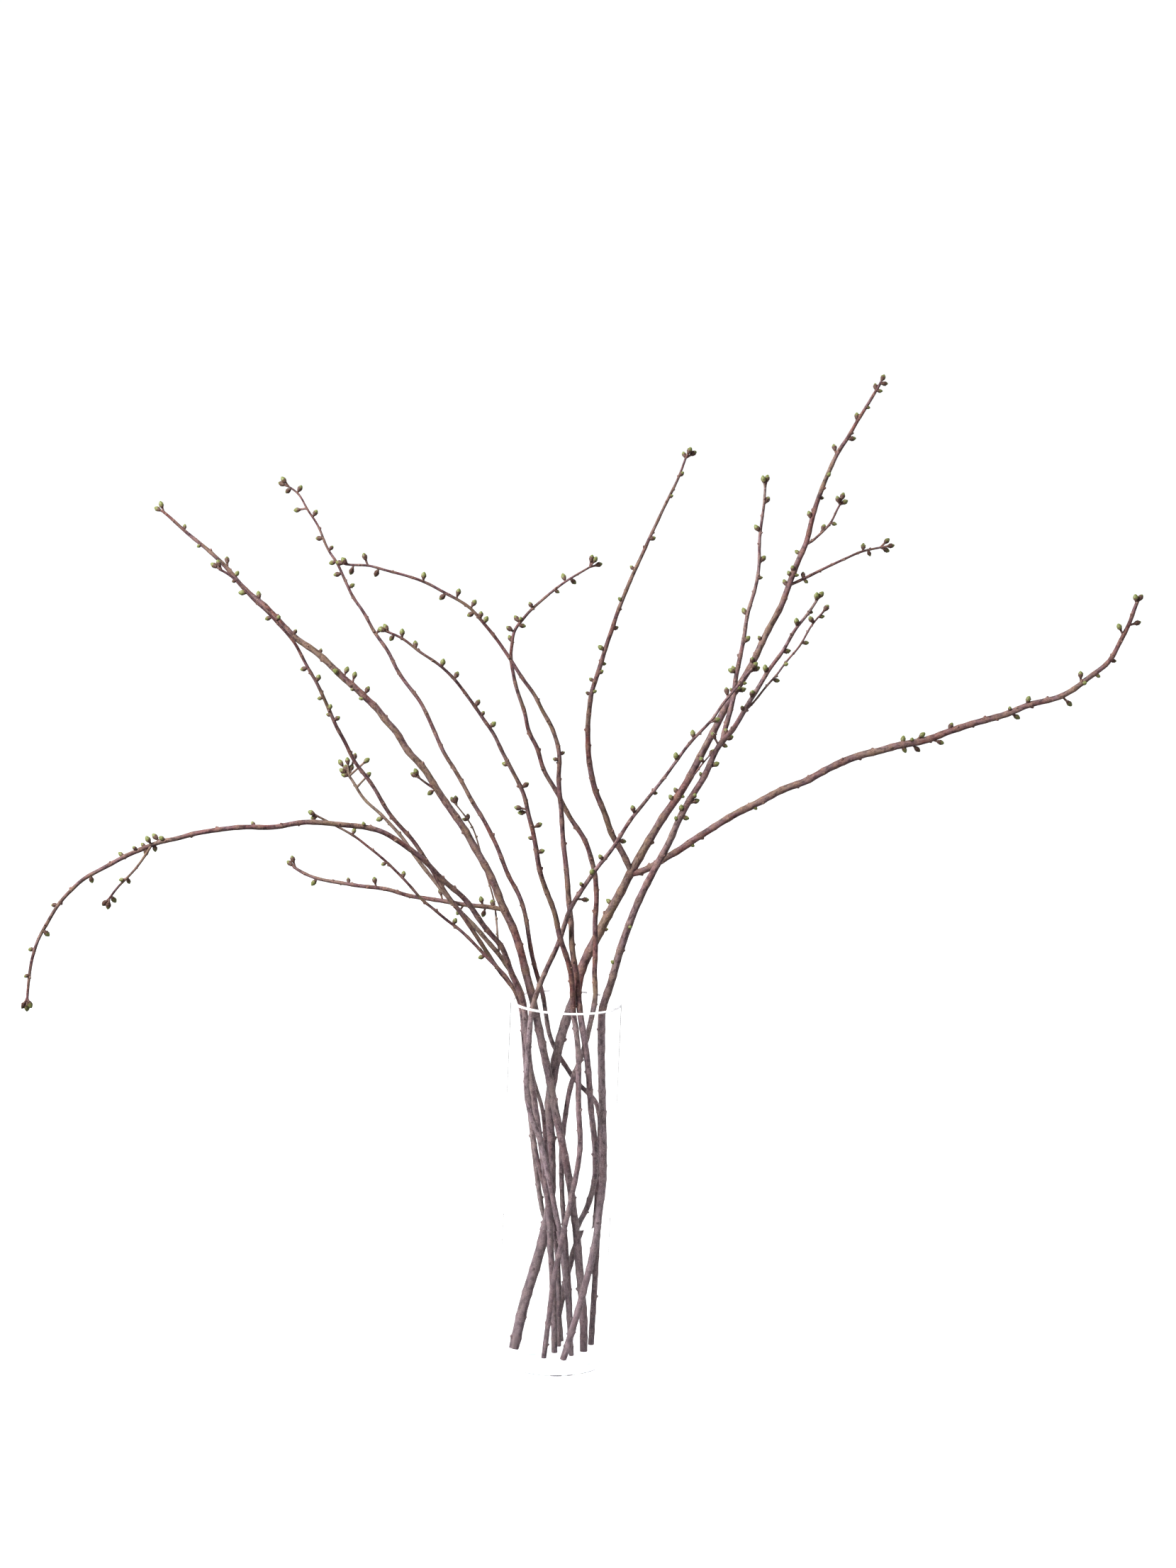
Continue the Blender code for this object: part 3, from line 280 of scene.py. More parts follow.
MID_LEANING = Shoot(
    held=((-7, -28, 10.3), (-4, -29, 50), (0, -30, 100), (7, -32, 145), (13, -34, 180), (20, -37, 225),
          (22, -40, 255), (19, -43, 285), (17, -46, 320), (16, -48, 350), (12, -49.2, 380), (8, -50.5, 400)),
    seen=((5, 425), (-2, 450), (-11, 472), (-16, 496), (-26, 518), (-35, 542), (-38, 558), (-43, 582),
          (-50, 604), (-54, 622), (-66, 644), (-80, 668), (-90, 688), (-100, 700), (-109, 713), (-125, 733),
          (-132, 742), (-143, 752), (-150, 758), (-167, 768), (-177, 774), (-190, 785), (-200, 788),
          (-208, 791)),
    behind=(-57, -72, -85, -98, -112),
    radii=(2.8, 2.8, 3.0, 2.8, 2.0, 1.3),
    buds=((-50, 636, 10), (-65, 609, 14), (-61, 603, 11), (-34, 593, 8), (-49, 577, 6), (-30, 564, 7),
          (-80, 656, 8), (-88, 700, 10), (-106, 723, 8), (-101, 711, 7), (-130, 752, 9), (-146, 765, 8),
          (-177, 783, 9), (-191, 795, 8), (-204, 781, 7), (-217, 794, 9), (-211, 799, 9)),
)

MID_WAVY = Shoot(
    held=((20, 35, 10.3), (16, 29, 70), (8, 25, 144), (3, 27, 200), (2, 32, 230), (4, 33, 260), (9, 33, 300),
          (19, 35, 330), (26, 38.5, 360), (32, 41.6, 400)),
    seen=((29.5, 423), (29, 439), (29, 463), (27, 487), (28, 511), (26, 532), (24, 545), (20, 556),
          (16, 570), (8, 584), (-4, 599), (-12, 613), (-20, 628), (-28, 639), (-37, 654), (-42, 674),
          (-51, 686), (-55, 698), (-57, 711), (-64, 727), (-69, 741), (-73, 759), (-76, 772), (-73, 785),
          (-75, 795), (-68, 805), (-62, 812), (-58, 819), (-50, 826), (-33, 842), (-22, 851), (-9, 860),
          (1, 866), (7, 870)),
    behind=(43, 32, 15, 5, 20),
    radii=(2.6, 2.7, 2.9, 2.7, 2.1, 1.05),
    buds=((-73, 814, 9), (-81, 802, 9), (-66, 813, 8), (-60, 803, 9), (-78, 793, 7), (-58, 829, 8),
          (-24, 861, 9), (-26, 840, 7), (-9, 850, 8), (12, 880, 10), (18, 873, 9), (7, 882, 7)),
)

CROSSING = Shoot(
    held=((22, -16, 10.3), (17, -17, 60), (12, -19, 100), (5, -22, 145), (-3, -24, 180), (-14, -27, 225),
          (-23, -29, 258), (-31, -31, 275), (-37, -33, 300), (-39, -34, 320), (-38, -35, 350),
          (-37, -37, 380), (-35.8, -38.4, 400)),
    seen=((-29, 417), (-21, 439), (-11, 463), (-5, 486), (0, 502), (8, 517), (16, 530), (27, 548), (42, 568),
          (50, 583), (61, 602.5), (73, 618.5), (85.5, 636), (97.5, 653), (108, 669.5), (118, 685),
          (125.5, 693.6), (132.7, 702), (141, 710.5), (146.3, 719), (150.5, 727.5), (154.7, 733.7),
          (159.7, 739.3), (164.7, 746.4), (169.7, 752.7), (174.7, 759.8), (179, 766)),
    behind=(-41, -55, -66, -78, -92),
    radii=(2.8, 2.8, 2.9, 2.6, 1.8, 1.3),
    buds=((20, 512, 9), (9, 531, 8), (22, 546, 9), (28, 562, 9), (57, 577, 8), (61, 617, 11), (88, 631, 5),
          (105, 676, 11), (121.5, 701, 11), (150.5, 714, 12), (155, 748, 12), (187, 776, 11), (190, 771, 8)),
)

RIGHT_FORKED_TWIG = Shoot(
    seen=((176, 720), (184, 731), (192.8, 743.8), (200.8, 755.4), (208.2, 762), (211.3, 769), (220, 781.5),
          (230.6, 794), (233.7, 800.4), (238, 810), (242.5, 819), (249, 827), (254, 832.6)),
    behind=(-64, -85, -120),
    radii=(1.15, 1.05, 1.0),
    buds=((211.8, 757, 8), (219.5, 776, 5), (240.5, 799, 9), (239, 827, 9), (255.5, 828, 7), (259, 840, 9)),
)
RIGHT_FORKED_ARM = Shoot(
    seen=((152, 690), (156, 704), (158.4, 712), (160, 719.5), (161.4, 727), (163.3, 735), (164, 742),
          (164, 749.5), (164.5, 757), (166, 767), (167.4, 776), (169, 785.5), (170.3, 794), (172, 806),
          (172.3, 817.5), (174, 829.7), (177, 840), (180, 850.7), (182, 863), (183.5, 880), (182.7, 892),
          (182, 905), (182.8, 916), (184, 930.7), (185.4, 943.7), (185.2, 955), (185.2, 963)),
    behind=(-62, -48, -35, -20, -5),
    radii=(2.8, 2.4, 2.0, 1.7, 1.3),
    buds=((176.5, 747.5, 14), (170, 749, 9), (160.3, 771, 12), (155.8, 767, 10), (159, 747, 7),
          (177.5, 803.5, 12), (168, 833, 12), (188, 866, 7), (189.5, 889, 11), (176, 921, 12),
          (190.3, 951, 11), (182, 973, 10), (187.5, 974, 11)),
)
RIGHT_FORKED = Shoot(
    held=((13.6, -31, 10.3), (26, -30, 60), (37, -27, 110), (43.5, -23.5, 150), (46, -19, 180),
          (48, -18, 205), (47, -19.5, 240), (44.5, -23, 283), (41.2, -26.4, 330), (39.2, -29, 370),
          (38.8, -30.5, 400)),
    seen=((45.5, 415), (49, 428), (52, 444), (56.5, 462), (62, 481), (67, 497), (72, 511), (78, 526),
          (83, 537), (88, 547), (92.5, 558), (98, 567.5), (101.5, 576), (105.3, 584.5), (109, 597),
          (115, 610.5), (122, 625), (129, 638), (134, 645), (141, 661.5), (146, 676), (152, 689),
          (158, 693.5), (165.6, 704), (170, 712.5), (174.3, 721), (178, 728.7), (182, 735.7), (186, 743.6),
          (191, 751.5), (197, 764.5), (204, 775.5), (212, 786.3), (217.5, 797), (222, 807.6), (228.4, 818),
          (236, 827), (241.5, 836), (246.5, 845)),
    behind=(-35, -47, -60, -75, -92),
    radii=(3.7, 3.8, 4.1, 3.2, 1.35),
    buds=((107.5, 607, 7), (123, 605, 9), (113.5, 620, 10), (133, 626, 16), (129, 632, 12), (152, 667, 15),
          (131.5, 656, 10), (142, 699, 12), (165.5, 696, 13), (160, 684, 8), (156, 704, 8), (172.5, 729, 8),
          (183.5, 746, 10), (195, 774, 12), (221.8, 790, 10), (225.5, 825, 12), (243, 831, 6), (246, 853, 8),
          (252.5, 854, 10), (66, 484, 4), (46, 447, 4)),
    arms=(RIGHT_FORKED_TWIG, RIGHT_FORKED_ARM),
)

GREAT_INNER_ARM = Shoot(
    seen=((61, 545), (55, 562), (49, 572), (43, 580), (38, 590), (34, 603), (28, 616), (21, 630), (17, 645),
          (13, 662), (11, 681), (10, 702), (11, 720), (12, 735), (16, 749), (21, 766), (25, 784), (31, 803),
          (36, 822), (43, 842), (51, 864), (59, 883), (67, 904), (76, 925), (82.5, 941), (87.7, 952),
          (92.8, 964), (96.4, 974), (99, 983), (101, 990)),
    behind=(68, 62, 52, 48, 55),
    radii=(3.5, 3.0, 2.4, 1.9, 1.15),
    buds=((6, 736, 7), (18, 738, 7), (9, 751, 7), (24, 760, 8), (27, 767, 7), (17, 786, 8), (38, 807, 8),
          (36, 838, 6), (47, 872, 7), (73, 903, 8), (89, 948, 6), (99, 973, 8), (97, 994, 9),
          (105.6, 999, 10), (111.5, 995, 11)),
)
GREAT_OUTER_ARM = Shoot(
    seen=((63, 543), (72, 544), (85, 551), (93, 557), (101, 562), (110, 568), (119, 574), (128, 582),
          (140, 590), (152, 599), (165, 608), (178, 616), (193, 624), (206, 632), (217, 639), (230, 645),
          (246, 651), (259, 660), (271, 667), (288, 676), (306, 683), (322, 687), (335, 692), (348, 695.5),
          (364, 698.5), (377, 703), (389, 709), (402, 714), (417, 720), (432, 725), (446, 729.5), (457, 733),
          (467, 739), (477, 743.5), (489, 747), (501, 750), (511.5, 754), (521.5, 760), (530, 767),
          (537.5, 774.5), (545, 780), (553.5, 787), (561, 794.5), (565, 804), (570, 817), (575.5, 828),
          (579, 838), (582, 851), (584.5, 858)),
    behind=(68, 50, 20, -15, -45),
    radii=(3.6, 3.8, 3.8, 3.1, 2.0),
    buds=((346.5, 705, 9), (369, 709, 16), (356, 703, 8), (350, 686, 9), (365, 688, 14), (390, 698, 15),
          (397.5, 721, 12), (477.5, 753, 11), (469, 728, 13), (457, 741, 7), (523, 744, 15),
          (529.6, 782, 15), (537, 770, 8), (551, 776, 6), (567, 794, 5), (565.5, 834, 15), (590, 837, 14),
          (581.7, 866, 11), (589.5, 866, 12), (195, 618, 4), (130, 575, 4)),
)
GREAT_LOW_TWIG = Shoot(
    seen=((118, 642), (126, 652), (133, 664), (142, 675)),
    behind=(84, 78),
    radii=(1.1, 0.8),
    buds=((146, 681, 6), (131, 672, 5)),
)
GREAT_TOP_TWIG = Shoot(
    seen=((232, 900), (241, 908), (247.7, 917.5), (256, 923.5), (259, 932), (262, 941.5), (266, 948)),
    behind=(124, 116, 106),
    radii=(1.5, 1.3, 1.0),
    buds=((250, 925, 9), (263, 925, 8), (268.2, 959, 11), (261, 955, 7), (273, 951, 8)),
)
GREAT_SIDE_TWIG = Shoot(
    seen=((217, 859), (226, 863.5), (232, 867), (243, 873), (257, 881), (273, 889), (287, 896.7),
          (293.5, 899), (304.5, 901.5), (312.5, 903.5)),
    behind=(118, 126, 142),
    radii=(1.7, 1.4, 1.2),
    buds=((230, 874, 8), (236, 862, 7), (292, 907, 9), (300, 893, 7), (319, 913, 11), (325, 906, 12),
          (320, 899, 9)),
)
GREAT = Shoot(
    held=((-39, -2, 10.3), (-30, 7, 60), (-16.5, 15, 115), (-8, 22, 165), (-10, 30, 230), (-14, 33, 275),
          (-11, 36, 305), (-8, 40, 330), (-3, 44, 355), (4, 46.6, 380), (11, 48.4, 400)),
    seen=((13, 430), (20, 450), (30, 472), (40, 495), (53, 521), (62, 542), (68, 553), (75, 568), (84, 585),
          (94, 604), (105, 621), (113, 634), (120, 647), (126, 661), (132, 674), (138, 687), (143, 697),
          (148, 709), (153, 720), (158, 732), (165, 744), (172, 756), (178, 767), (183, 777), (187, 788),
          (192, 800), (197, 812), (203, 824), (209, 836), (213, 850), (218, 866), (222, 879), (225, 888),
          (231, 901), (233.5, 912), (236, 928), (240, 946), (244, 958), (248, 971), (253, 984), (257, 995),
          (262, 1005), (269, 1015), (276, 1030), (283.5, 1043), (291, 1057), (297.5, 1069), (301, 1076)),
    behind=(52, 76, 100, 122, 150),
    radii=(5.5, 5.2, 5.2, 3.9, 3.2, 1.5),
    buds=((105, 638, 10), (100, 630, 7), (117, 628, 6), (181, 781, 9), (177, 753, 7), (186, 804, 6),
          (209.5, 865, 10), (213.5, 874, 9), (218, 880, 8), (226, 870, 7), (220, 896, 9), (232, 938, 12),
          (247.8, 952, 5), (253, 979, 9), (254.5, 1009, 12), (278, 1016, 11), (277.5, 1043, 12),
          (291, 1048, 5), (303.8, 1083.5, 11), (308, 1074, 9), (294.5, 1074, 8), (303, 1066, 8),
          (38, 514, 4), (42, 481, 4)),
    arms=(GREAT_INNER_ARM, GREAT_OUTER_ARM, GREAT_LOW_TWIG, GREAT_TOP_TWIG, GREAT_SIDE_TWIG),
)


class Wood(Enum):
    """The kinds of bark in the bunch."""

    RED = "red_brown_bark"
    PINK = "pink_grey_bark"
    TAN = "tan_grey_bark"


@dataclass(frozen=True)
class Growth:
    """A branch as it is dressed: the solid it replaces, its layout and its kind of bark."""

    node: str
    shoot: Shoot
    wood: Wood
    seed: int


GROWTHS = (
    Growth("branch_great", GREAT, Wood.RED, 11),
    Growth("branch_right_forked", RIGHT_FORKED, Wood.PINK, 12),
    Growth("branch_left_tall", LEFT_TALL, Wood.RED, 13),
    Growth("branch_left_arch", LEFT_ARCH, Wood.RED, 14),
    Growth("branch_left_slender", LEFT_SLENDER, Wood.RED, 15),
    Growth("branch_left_brush", LEFT_BRUSH, Wood.TAN, 16),
    Growth("branch_left_low", LEFT_LOW, Wood.RED, 17),
    Growth("branch_left_upright", LEFT_UPRIGHT, Wood.RED, 18),
    Growth("branch_mid_hooked", MID_HOOKED, Wood.RED, 19),
    Growth("branch_mid_leaning", MID_LEANING, Wood.RED, 20),
    Growth("branch_mid_wavy", MID_WAVY, Wood.RED, 21),
    Growth("branch_crossing", CROSSING, Wood.PINK, 22),
)


class Signal:
    """A number flowing through a node tree, with arithmetic that adds Math nodes."""

    def __init__(self, wiring: "Wiring", socket: bpy.types.NodeSocket) -> None:
        """Wrap a socket.

        Args:
            wiring: The tree's wiring, which adds the nodes.
            socket: The output that carries the number.
        """
        self.wiring = wiring
        self.socket = socket

    def _math(self, operation: str, *values: object) -> "Signal":
        """Add a Math node and return what it gives."""
        inputs = dict(enumerate(values))
        node = self.wiring.node("ShaderNodeMath", {"operation": operation}, inputs)
        return Signal(self.wiring, node.outputs[0])

    def __add__(self, other: object) -> "Signal":
        """This number plus another."""
        return self._math("ADD", self, other)

    __radd__ = __add__

    def __sub__(self, other: object) -> "Signal":
        """This number less another."""
        return self._math("SUBTRACT", self, other)

    def __rsub__(self, other: object) -> "Signal":
        """Another number less this one."""
        return self._math("SUBTRACT", other, self)

    def __mul__(self, other: object) -> "Signal":
        """This number times another."""
        return self._math("MULTIPLY", self, other)

    __rmul__ = __mul__

    def clamped(self) -> "Signal":
        """This number held between 0 and 1."""
        return self._math("MINIMUM", self._math("MAXIMUM", self, 0.0), 1.0)

    def ramp(self, low: float, high: float) -> "Signal":
        """How far this number is from low to high, held between 0 and 1."""
        return ((self - low) * (1.0 / (high - low))).clamped()


class Wiring:
    """Adds nodes and links to one node tree."""

    def __init__(self, tree: bpy.types.NodeTree) -> None:
        """Take the tree to wire."""
        self.tree = tree

    def feed(self, socket: bpy.types.NodeSocket, value: object) -> None:
        """Set a socket's value, or link it where the value comes from another node.

        Args:
            socket: The input to set.
            value: A plain value, a socket or a signal.
        """
        source = value.socket if isinstance(value, Signal) else value
        if isinstance(source, bpy.types.NodeSocket):
            self.tree.links.new(source, socket)
        else:
            socket.default_value = source

    def node(self, kind: str, settings: dict | None = None, inputs: dict | None = None) -> bpy.types.Node:
        """Add a node.

        Args:
            kind: The node's type.
            settings: Its own settings.
            inputs: Values or links, by socket name or number.

        Returns:
            The new node.
        """
        node = self.tree.nodes.new(kind)
        for name, value in (settings or {}).items():
            setattr(node, name, value)
        for key, value in (inputs or {}).items():
            self.feed(node.inputs[key], value)
        return node

    def output(self, kind: str, settings: dict | None = None,
               inputs: dict | None = None) -> bpy.types.NodeSocket:
        """Add a node and return its first output."""
        return self.node(kind, settings, inputs).outputs[0]

    def signal(self, socket: bpy.types.NodeSocket) -> Signal:
        """Wrap an output for arithmetic."""
        return Signal(self, socket)

    def carried(self, name: str) -> Signal:
        """A number that a mesh carries under a name, for its material."""
        return self.signal(self.node("ShaderNodeAttribute", {"attribute_name": name}).outputs["Fac"])

    def height(self, place: bpy.types.NodeSocket) -> Signal:
        """How high a place stands."""
        return self.signal(self.node("ShaderNodeSeparateXYZ", None, {0: place}).outputs["Z"])

    def noise(self, vector: object, factors: tuple | None, detail: float, roughness: float,
              scale: float = 1.0) -> Signal:
        """A noise value between 0 and 1 over a vector.

        Args:
            vector: The place to read, as a link.
            factors: What each axis of the vector is first multiplied by, or None.
            detail: How many octaves it has.
            roughness: How strong the finer octaves are.
            scale: The noise's own scale.

        Returns:
            The value.
        """
        if factors:
            vector = self.stretched(vector, factors)
        inputs = {"Vector": vector, "Scale": scale, "Detail": detail, "Roughness": roughness}
        return self.signal(self.output("ShaderNodeTexNoise", None, inputs))

    def stretched(self, vector: object, factors: tuple) -> bpy.types.NodeSocket:
        """A vector times a factor for each of its axes."""
        return self.output("ShaderNodeVectorMath", {"operation": "MULTIPLY"}, {0: vector, 1: factors})

    def blended(self, share: object, first: object, second: object) -> bpy.types.NodeSocket:
        """A colour part of the way from one colour to another.

        Args:
            share: 0 for the first colour, 1 for the second.
            first: A colour or a link.
            second: A colour or a link.

        Returns:
            The mixed colour's socket.
        """
        node = self.tree.nodes.new("ShaderNodeMix")
        node.data_type = "RGBA"
        self.feed(node.inputs[0], share)
        for index, colour in ((6, first), (7, second)):
            self.feed(node.inputs[index], (*colour, 1.0) if isinstance(colour, tuple) else colour)
        return node.outputs[2]


def fresh_material(name: str, plain: dict) -> tuple[bpy.types.Material, Wiring, bpy.types.Node]:
    """Make a material with its Principled shader.

    Args:
        name: The material's name.
        plain: The shader's plain values, by input.

    Returns:
        The material, the wiring of its tree and its shader.
    """
    material = bpy.data.materials.new(name)
    material.use_nodes = True
    shader = material.node_tree.nodes["Principled BSDF"]
    for label, value in plain.items():
        shader.inputs[label].default_value = value
    return material, Wiring(material.node_tree), shader


def linked(name: str, data: object) -> bpy.types.Object:
    """Make an object and put it in the scene."""
    thing = bpy.data.objects.new(name, data)
    bpy.context.scene.collection.objects.link(thing)
    return thing


def store(mesh: bpy.types.Mesh, columns: dict) -> None:
    """Store a list of numbers on a mesh's points under each name."""
    for name, values in columns.items():
        mesh.attributes.new(name, "FLOAT", "POINT").data.foreach_set("value", values)


def store_vectors(mesh: bpy.types.Mesh, name: str, values: list) -> None:
    """Store vectors, as one long list of their numbers, on a mesh's points under a name."""
    mesh.attributes.new(name, "FLOAT_VECTOR", "POINT").data.foreach_set("vector", values)


@dataclass(frozen=True)
class BarkFinish:
    """Young cherry bark: red-brown, silvery in patches, corky dashes across it, greyer where old or wet;
    painted shade in the grain's grooves, and a painted veil of glass and water inside the vase.
    """

    name: str
    young: tuple
    dark_tone_and_groove_shade: tuple
    old: tuple
    bloom: tuple
    dash: tuple
    wet: tuple
    moss: tuple
    rust: tuple
    bloom_share: float

    def material(self) -> bpy.types.Material:
        """Build the bark material.

        Returns:
            The material, which reads the stem's own grain, age and scar attributes.
        """
        material, wiring, shader = fresh_material(self.name, {"Specular IOR Level": 0.16})
        grain = wiring.node("ShaderNodeAttribute", {"attribute_name": "grain"}).outputs["Vector"]
        age = wiring.carried("age")
        scar = wiring.carried("scar")
        place = wiring.node("ShaderNodeTexCoord").outputs["Object"]
        height = wiring.height(place)
        under = 1.0 - height.ramp(0.150, 0.240)
        flat = wiring.stretched(place, (1.0, 1.0, 0.0))
        from_axis = wiring.node("ShaderNodeVectorMath", {"operation": "LENGTH"}, {0: flat})
        away = wiring.signal(from_axis.outputs["Value"])
        # Painted veil: below the rim and within the vase's radius the wood is painted greyer and darker,
        # standing in for how the glass and water dull it; the bark itself is no greyer there.
        standing = height.ramp(VASE_TOP + 0.006, VASE_TOP - 0.014) * away.ramp(0.070, 0.058)

        fibre = wiring.noise(grain, (800.0, 800.0, 90.0), 4.0, 0.65)
        patch = wiring.noise(grain, (190.0, 190.0, 60.0), 3.0, 0.6)
        blotch = wiring.noise(grain, (300.0, 300.0, 170.0), 4.0, 0.7)
        dashes = wiring.noise(grain, (210.0, 210.0, 800.0), 2.0, 0.5).ramp(0.60, 0.68)
        speck = wiring.noise(grain, (1100.0, 1100.0, 1100.0), 2.0, 0.5)
        drift = wiring.noise(grain, (50.0, 50.0, 13.0), 3.0, 0.6)

        # Partly painted shade: where the fine grain sinks into the bump's grooves it is also painted darker,
        # so the dark streaks are partly the bark's own tone and partly painted groove shade.
        groove_shade_and_tone = fibre * 0.45 + blotch * 0.55
        colour = wiring.blended(groove_shade_and_tone.ramp(0.42, 0.56), self.dark_tone_and_groove_shade, self.young)
        colour = wiring.blended((age * 0.75 + (patch - 0.5) * 1.2).clamped(), colour, self.old)
        colour = wiring.blended(drift.ramp(0.50, 0.59) * 0.72, colour, self.moss)
        colour = wiring.blended(drift.ramp(0.48, 0.40) * 0.62, colour, self.rust)
        silver = (patch.ramp(0.42, 0.62) * 0.6 + fibre.ramp(0.5, 0.7) * 0.5) * self.bloom_share
        colour = wiring.blended(silver.clamped(), colour, self.bloom)
        colour = wiring.blended(dashes * 0.6, colour, self.dash)
        colour = wiring.blended(blotch.ramp(0.52, 0.40) * 0.7, colour, self.dark_tone_and_groove_shade)
        colour = wiring.blended((scar * speck.ramp(0.3, 0.6)).clamped() * 0.55, colour, self.dash)
        colour = wiring.blended((scar * speck.ramp(0.50, 0.38)).clamped() * 0.4, colour, self.dark_tone_and_groove_shade)
        colour = wiring.blended(under * 0.35, colour, self.wet)
        # Painted veil: inside the vase the colour is turned towards a tinted grey of its own brightness.
        weights = {0: colour, 1: (0.3, 0.6, 0.1)}
        pale = wiring.node("ShaderNodeVectorMath", {"operation": "DOT_PRODUCT"}, weights)
        painted_veil_grey = wiring.stretched(pale.outputs["Value"], (0.88, 0.72, 0.85))
        colour = wiring.blended(standing * 0.62, colour, painted_veil_grey)
        wiring.feed(shader.inputs["Base Color"], colour)
        wiring.feed(shader.inputs["Roughness"], (fibre * 0.3 + scar * 0.2 + 0.42).clamped())
        relief = fibre * 0.5 + dashes * 0.6 + speck * 0.25
        bump = wiring.output("ShaderNodeBump", None, {"Strength": 0.55, "Distance": 0.0005, "Height": relief})
        wiring.feed(shader.inputs["Normal"], bump)
        return material


@dataclass(frozen=True)
class BudFinish:
    """Bud scales: red-brown and dry at the foot, opening yellow-green towards the tip."""

    name: str
    scale: tuple
    scale_edge: tuple
    green: tuple
    tip: tuple

    def material(self) -> bpy.types.Material:
        """Build the bud material.

        Returns:
            The material, which reads how far along and how ripe the bud is.
        """
        material, wiring, shader = fresh_material(self.name, {"Specular IOR Level": 0.25})
        along = wiring.carried("along")
        lip = wiring.carried("lip")
        ripe = wiring.carried("ripe")
        place = wiring.node("ShaderNodeTexCoord").outputs["Object"]
        mottle = wiring.noise(place, None, 3.0, 0.6, 420.0)
        streak = wiring.noise(place, None, 2.0, 0.5, 1500.0)
        opened = (along + (mottle - 0.5) * 0.5 + (ripe - 0.5) * 0.7).ramp(0.54, 0.74)
        colour = wiring.blended(streak.ramp(0.35, 0.7), self.scale, self.scale_edge)
        colour = wiring.blended(opened, colour, self.green)
        colour = wiring.blended(lip * 0.6 * streak.ramp(0.2, 0.6), colour, self.scale_edge)
        colour = wiring.blended((along + (mottle - 0.5) * 0.3).ramp(0.86, 1.02) * 0.7, colour, self.tip)
        wiring.feed(shader.inputs["Base Color"], colour)
        wiring.feed(shader.inputs["Roughness"], (0.62 - opened * 0.16).clamped())
        bump = wiring.output("ShaderNodeBump", None, {"Strength": 0.4, "Distance": 0.0003, "Height": streak})
        wiring.feed(shader.inputs["Normal"], bump)
        return material


# The colours of each finish, in the order that its class names them.
BARKS = {
    Wood.RED: BarkFinish(
        "red_brown_bark", (0.106, 0.043, 0.046), (0.024, 0.010, 0.013), (0.104, 0.062, 0.060),
        (0.230, 0.150, 0.174), (0.250, 0.150, 0.110), (0.077, 0.053, 0.057), (0.152, 0.107, 0.060),
        (0.140, 0.046, 0.033), 0.44),
    Wood.PINK: BarkFinish(
        "pink_grey_bark", (0.125, 0.058, 0.063), (0.032, 0.015, 0.018), (0.112, 0.071, 0.070),
        (0.255, 0.176, 0.200), (0.255, 0.170, 0.135), (0.082, 0.058, 0.061), (0.156, 0.112, 0.086),
        (0.152, 0.060, 0.050), 0.60),
    Wood.TAN: BarkFinish(
        "tan_grey_bark", (0.150, 0.089, 0.068), (0.048, 0.027, 0.022), (0.128, 0.092, 0.074),
        (0.246, 0.186, 0.174), (0.262, 0.192, 0.140), (0.084, 0.062, 0.057), (0.170, 0.130, 0.080),
        (0.152, 0.074, 0.052), 0.5),
}
BUDS = BudFinish("bud_scales", (0.034, 0.013, 0.011), (0.094, 0.050, 0.035), (0.132, 0.156, 0.042),
                 (0.088, 0.126, 0.032))


def sighted(across: float, up: float, behind: float) -> Vector:
    """The point, in millimetres, seen at (across, up) and lying that far behind the viewing plane."""
    reach = 1.0 + behind / EYE_AWAY
    return Vector((EYE_ACROSS + (across - EYE_ACROSS) * reach, behind, EYE_UP + (up - EYE_UP) * reach))


def reading_of(point: Vector) -> Vector:
    """Where a point is seen on the viewing plane, as (across, up)."""
    reach = 1.0 + point.y / EYE_AWAY
    return Vector((EYE_ACROSS + (point.x - EYE_ACROSS) / reach, EYE_UP + (point.z - EYE_UP) / reach))


def spread(values: tuple, fraction: float) -> float:
    """Read evenly spaced values at a fraction of the way along them."""
    place = min(max(fraction, 0.0), 1.0) * (len(values) - 1)
    index = min(int(place), len(values) - 2)
    return values[index] + (values[index + 1] - values[index]) * (place - index)


def fractions_along(points: list) -> list:
    """How far along a chain each of its points lies, from 0 to 1."""
    lengths = [0.0]
    for before, after in zip(points, points[1:]):
        lengths.append(lengths[-1] + (after - before).length)
    return [length / lengths[-1] for length in lengths]


def smooth_chain(points: list, step: float) -> list:
    """Even points on a Catmull-Rom curve.

    Args:
        points: The points that the curve goes through.
        step: The spacing of the result, in the points' unit.

    Returns:
        The evenly spaced points, ends included.
    """
    padded = [points[0] * 2 - points[1], *points, points[-1] * 2 - points[-2]]
    dense = []
    for a, b, c, d in zip(padded, padded[1:], padded[2:], padded[3:]):
        for part in range(8):
            t = part / 8
            bend = (a * 2 - b * 5 + c * 4 - d) * t * t + (b * 3 - a - c * 3 + d) * t * t * t
            dense.append((b * 2 + (c - a) * t + bend) / 2)
    dense.append(points[-1].copy())
    shares = fractions_along(dense)
    length = sum((after - before).length for before, after in zip(dense, dense[1:]))
    count = max(2, round(length / step))
    chain = []
    index = 0
    for ring in range(count):
        target = ring / count
        while shares[index + 1] < target:
            index += 1
        blend = (target - shares[index]) / (shares[index + 1] - shares[index])
        chain.append(dense[index].lerp(dense[index + 1], blend))
    chain.append(dense[-1])
    return chain


def eased(chain: list, rounds: int) -> list:
    """Draw each point of a chain towards its neighbours, ends held, so that the wood runs straighter."""
    for _ in range(rounds):
        inner = [before * 0.25 + point * 0.5 + after * 0.25
                 for before, point, after in zip(chain, chain[1:], chain[2:])]
        chain = [chain[0], *inner, chain[-1]]
    return chain


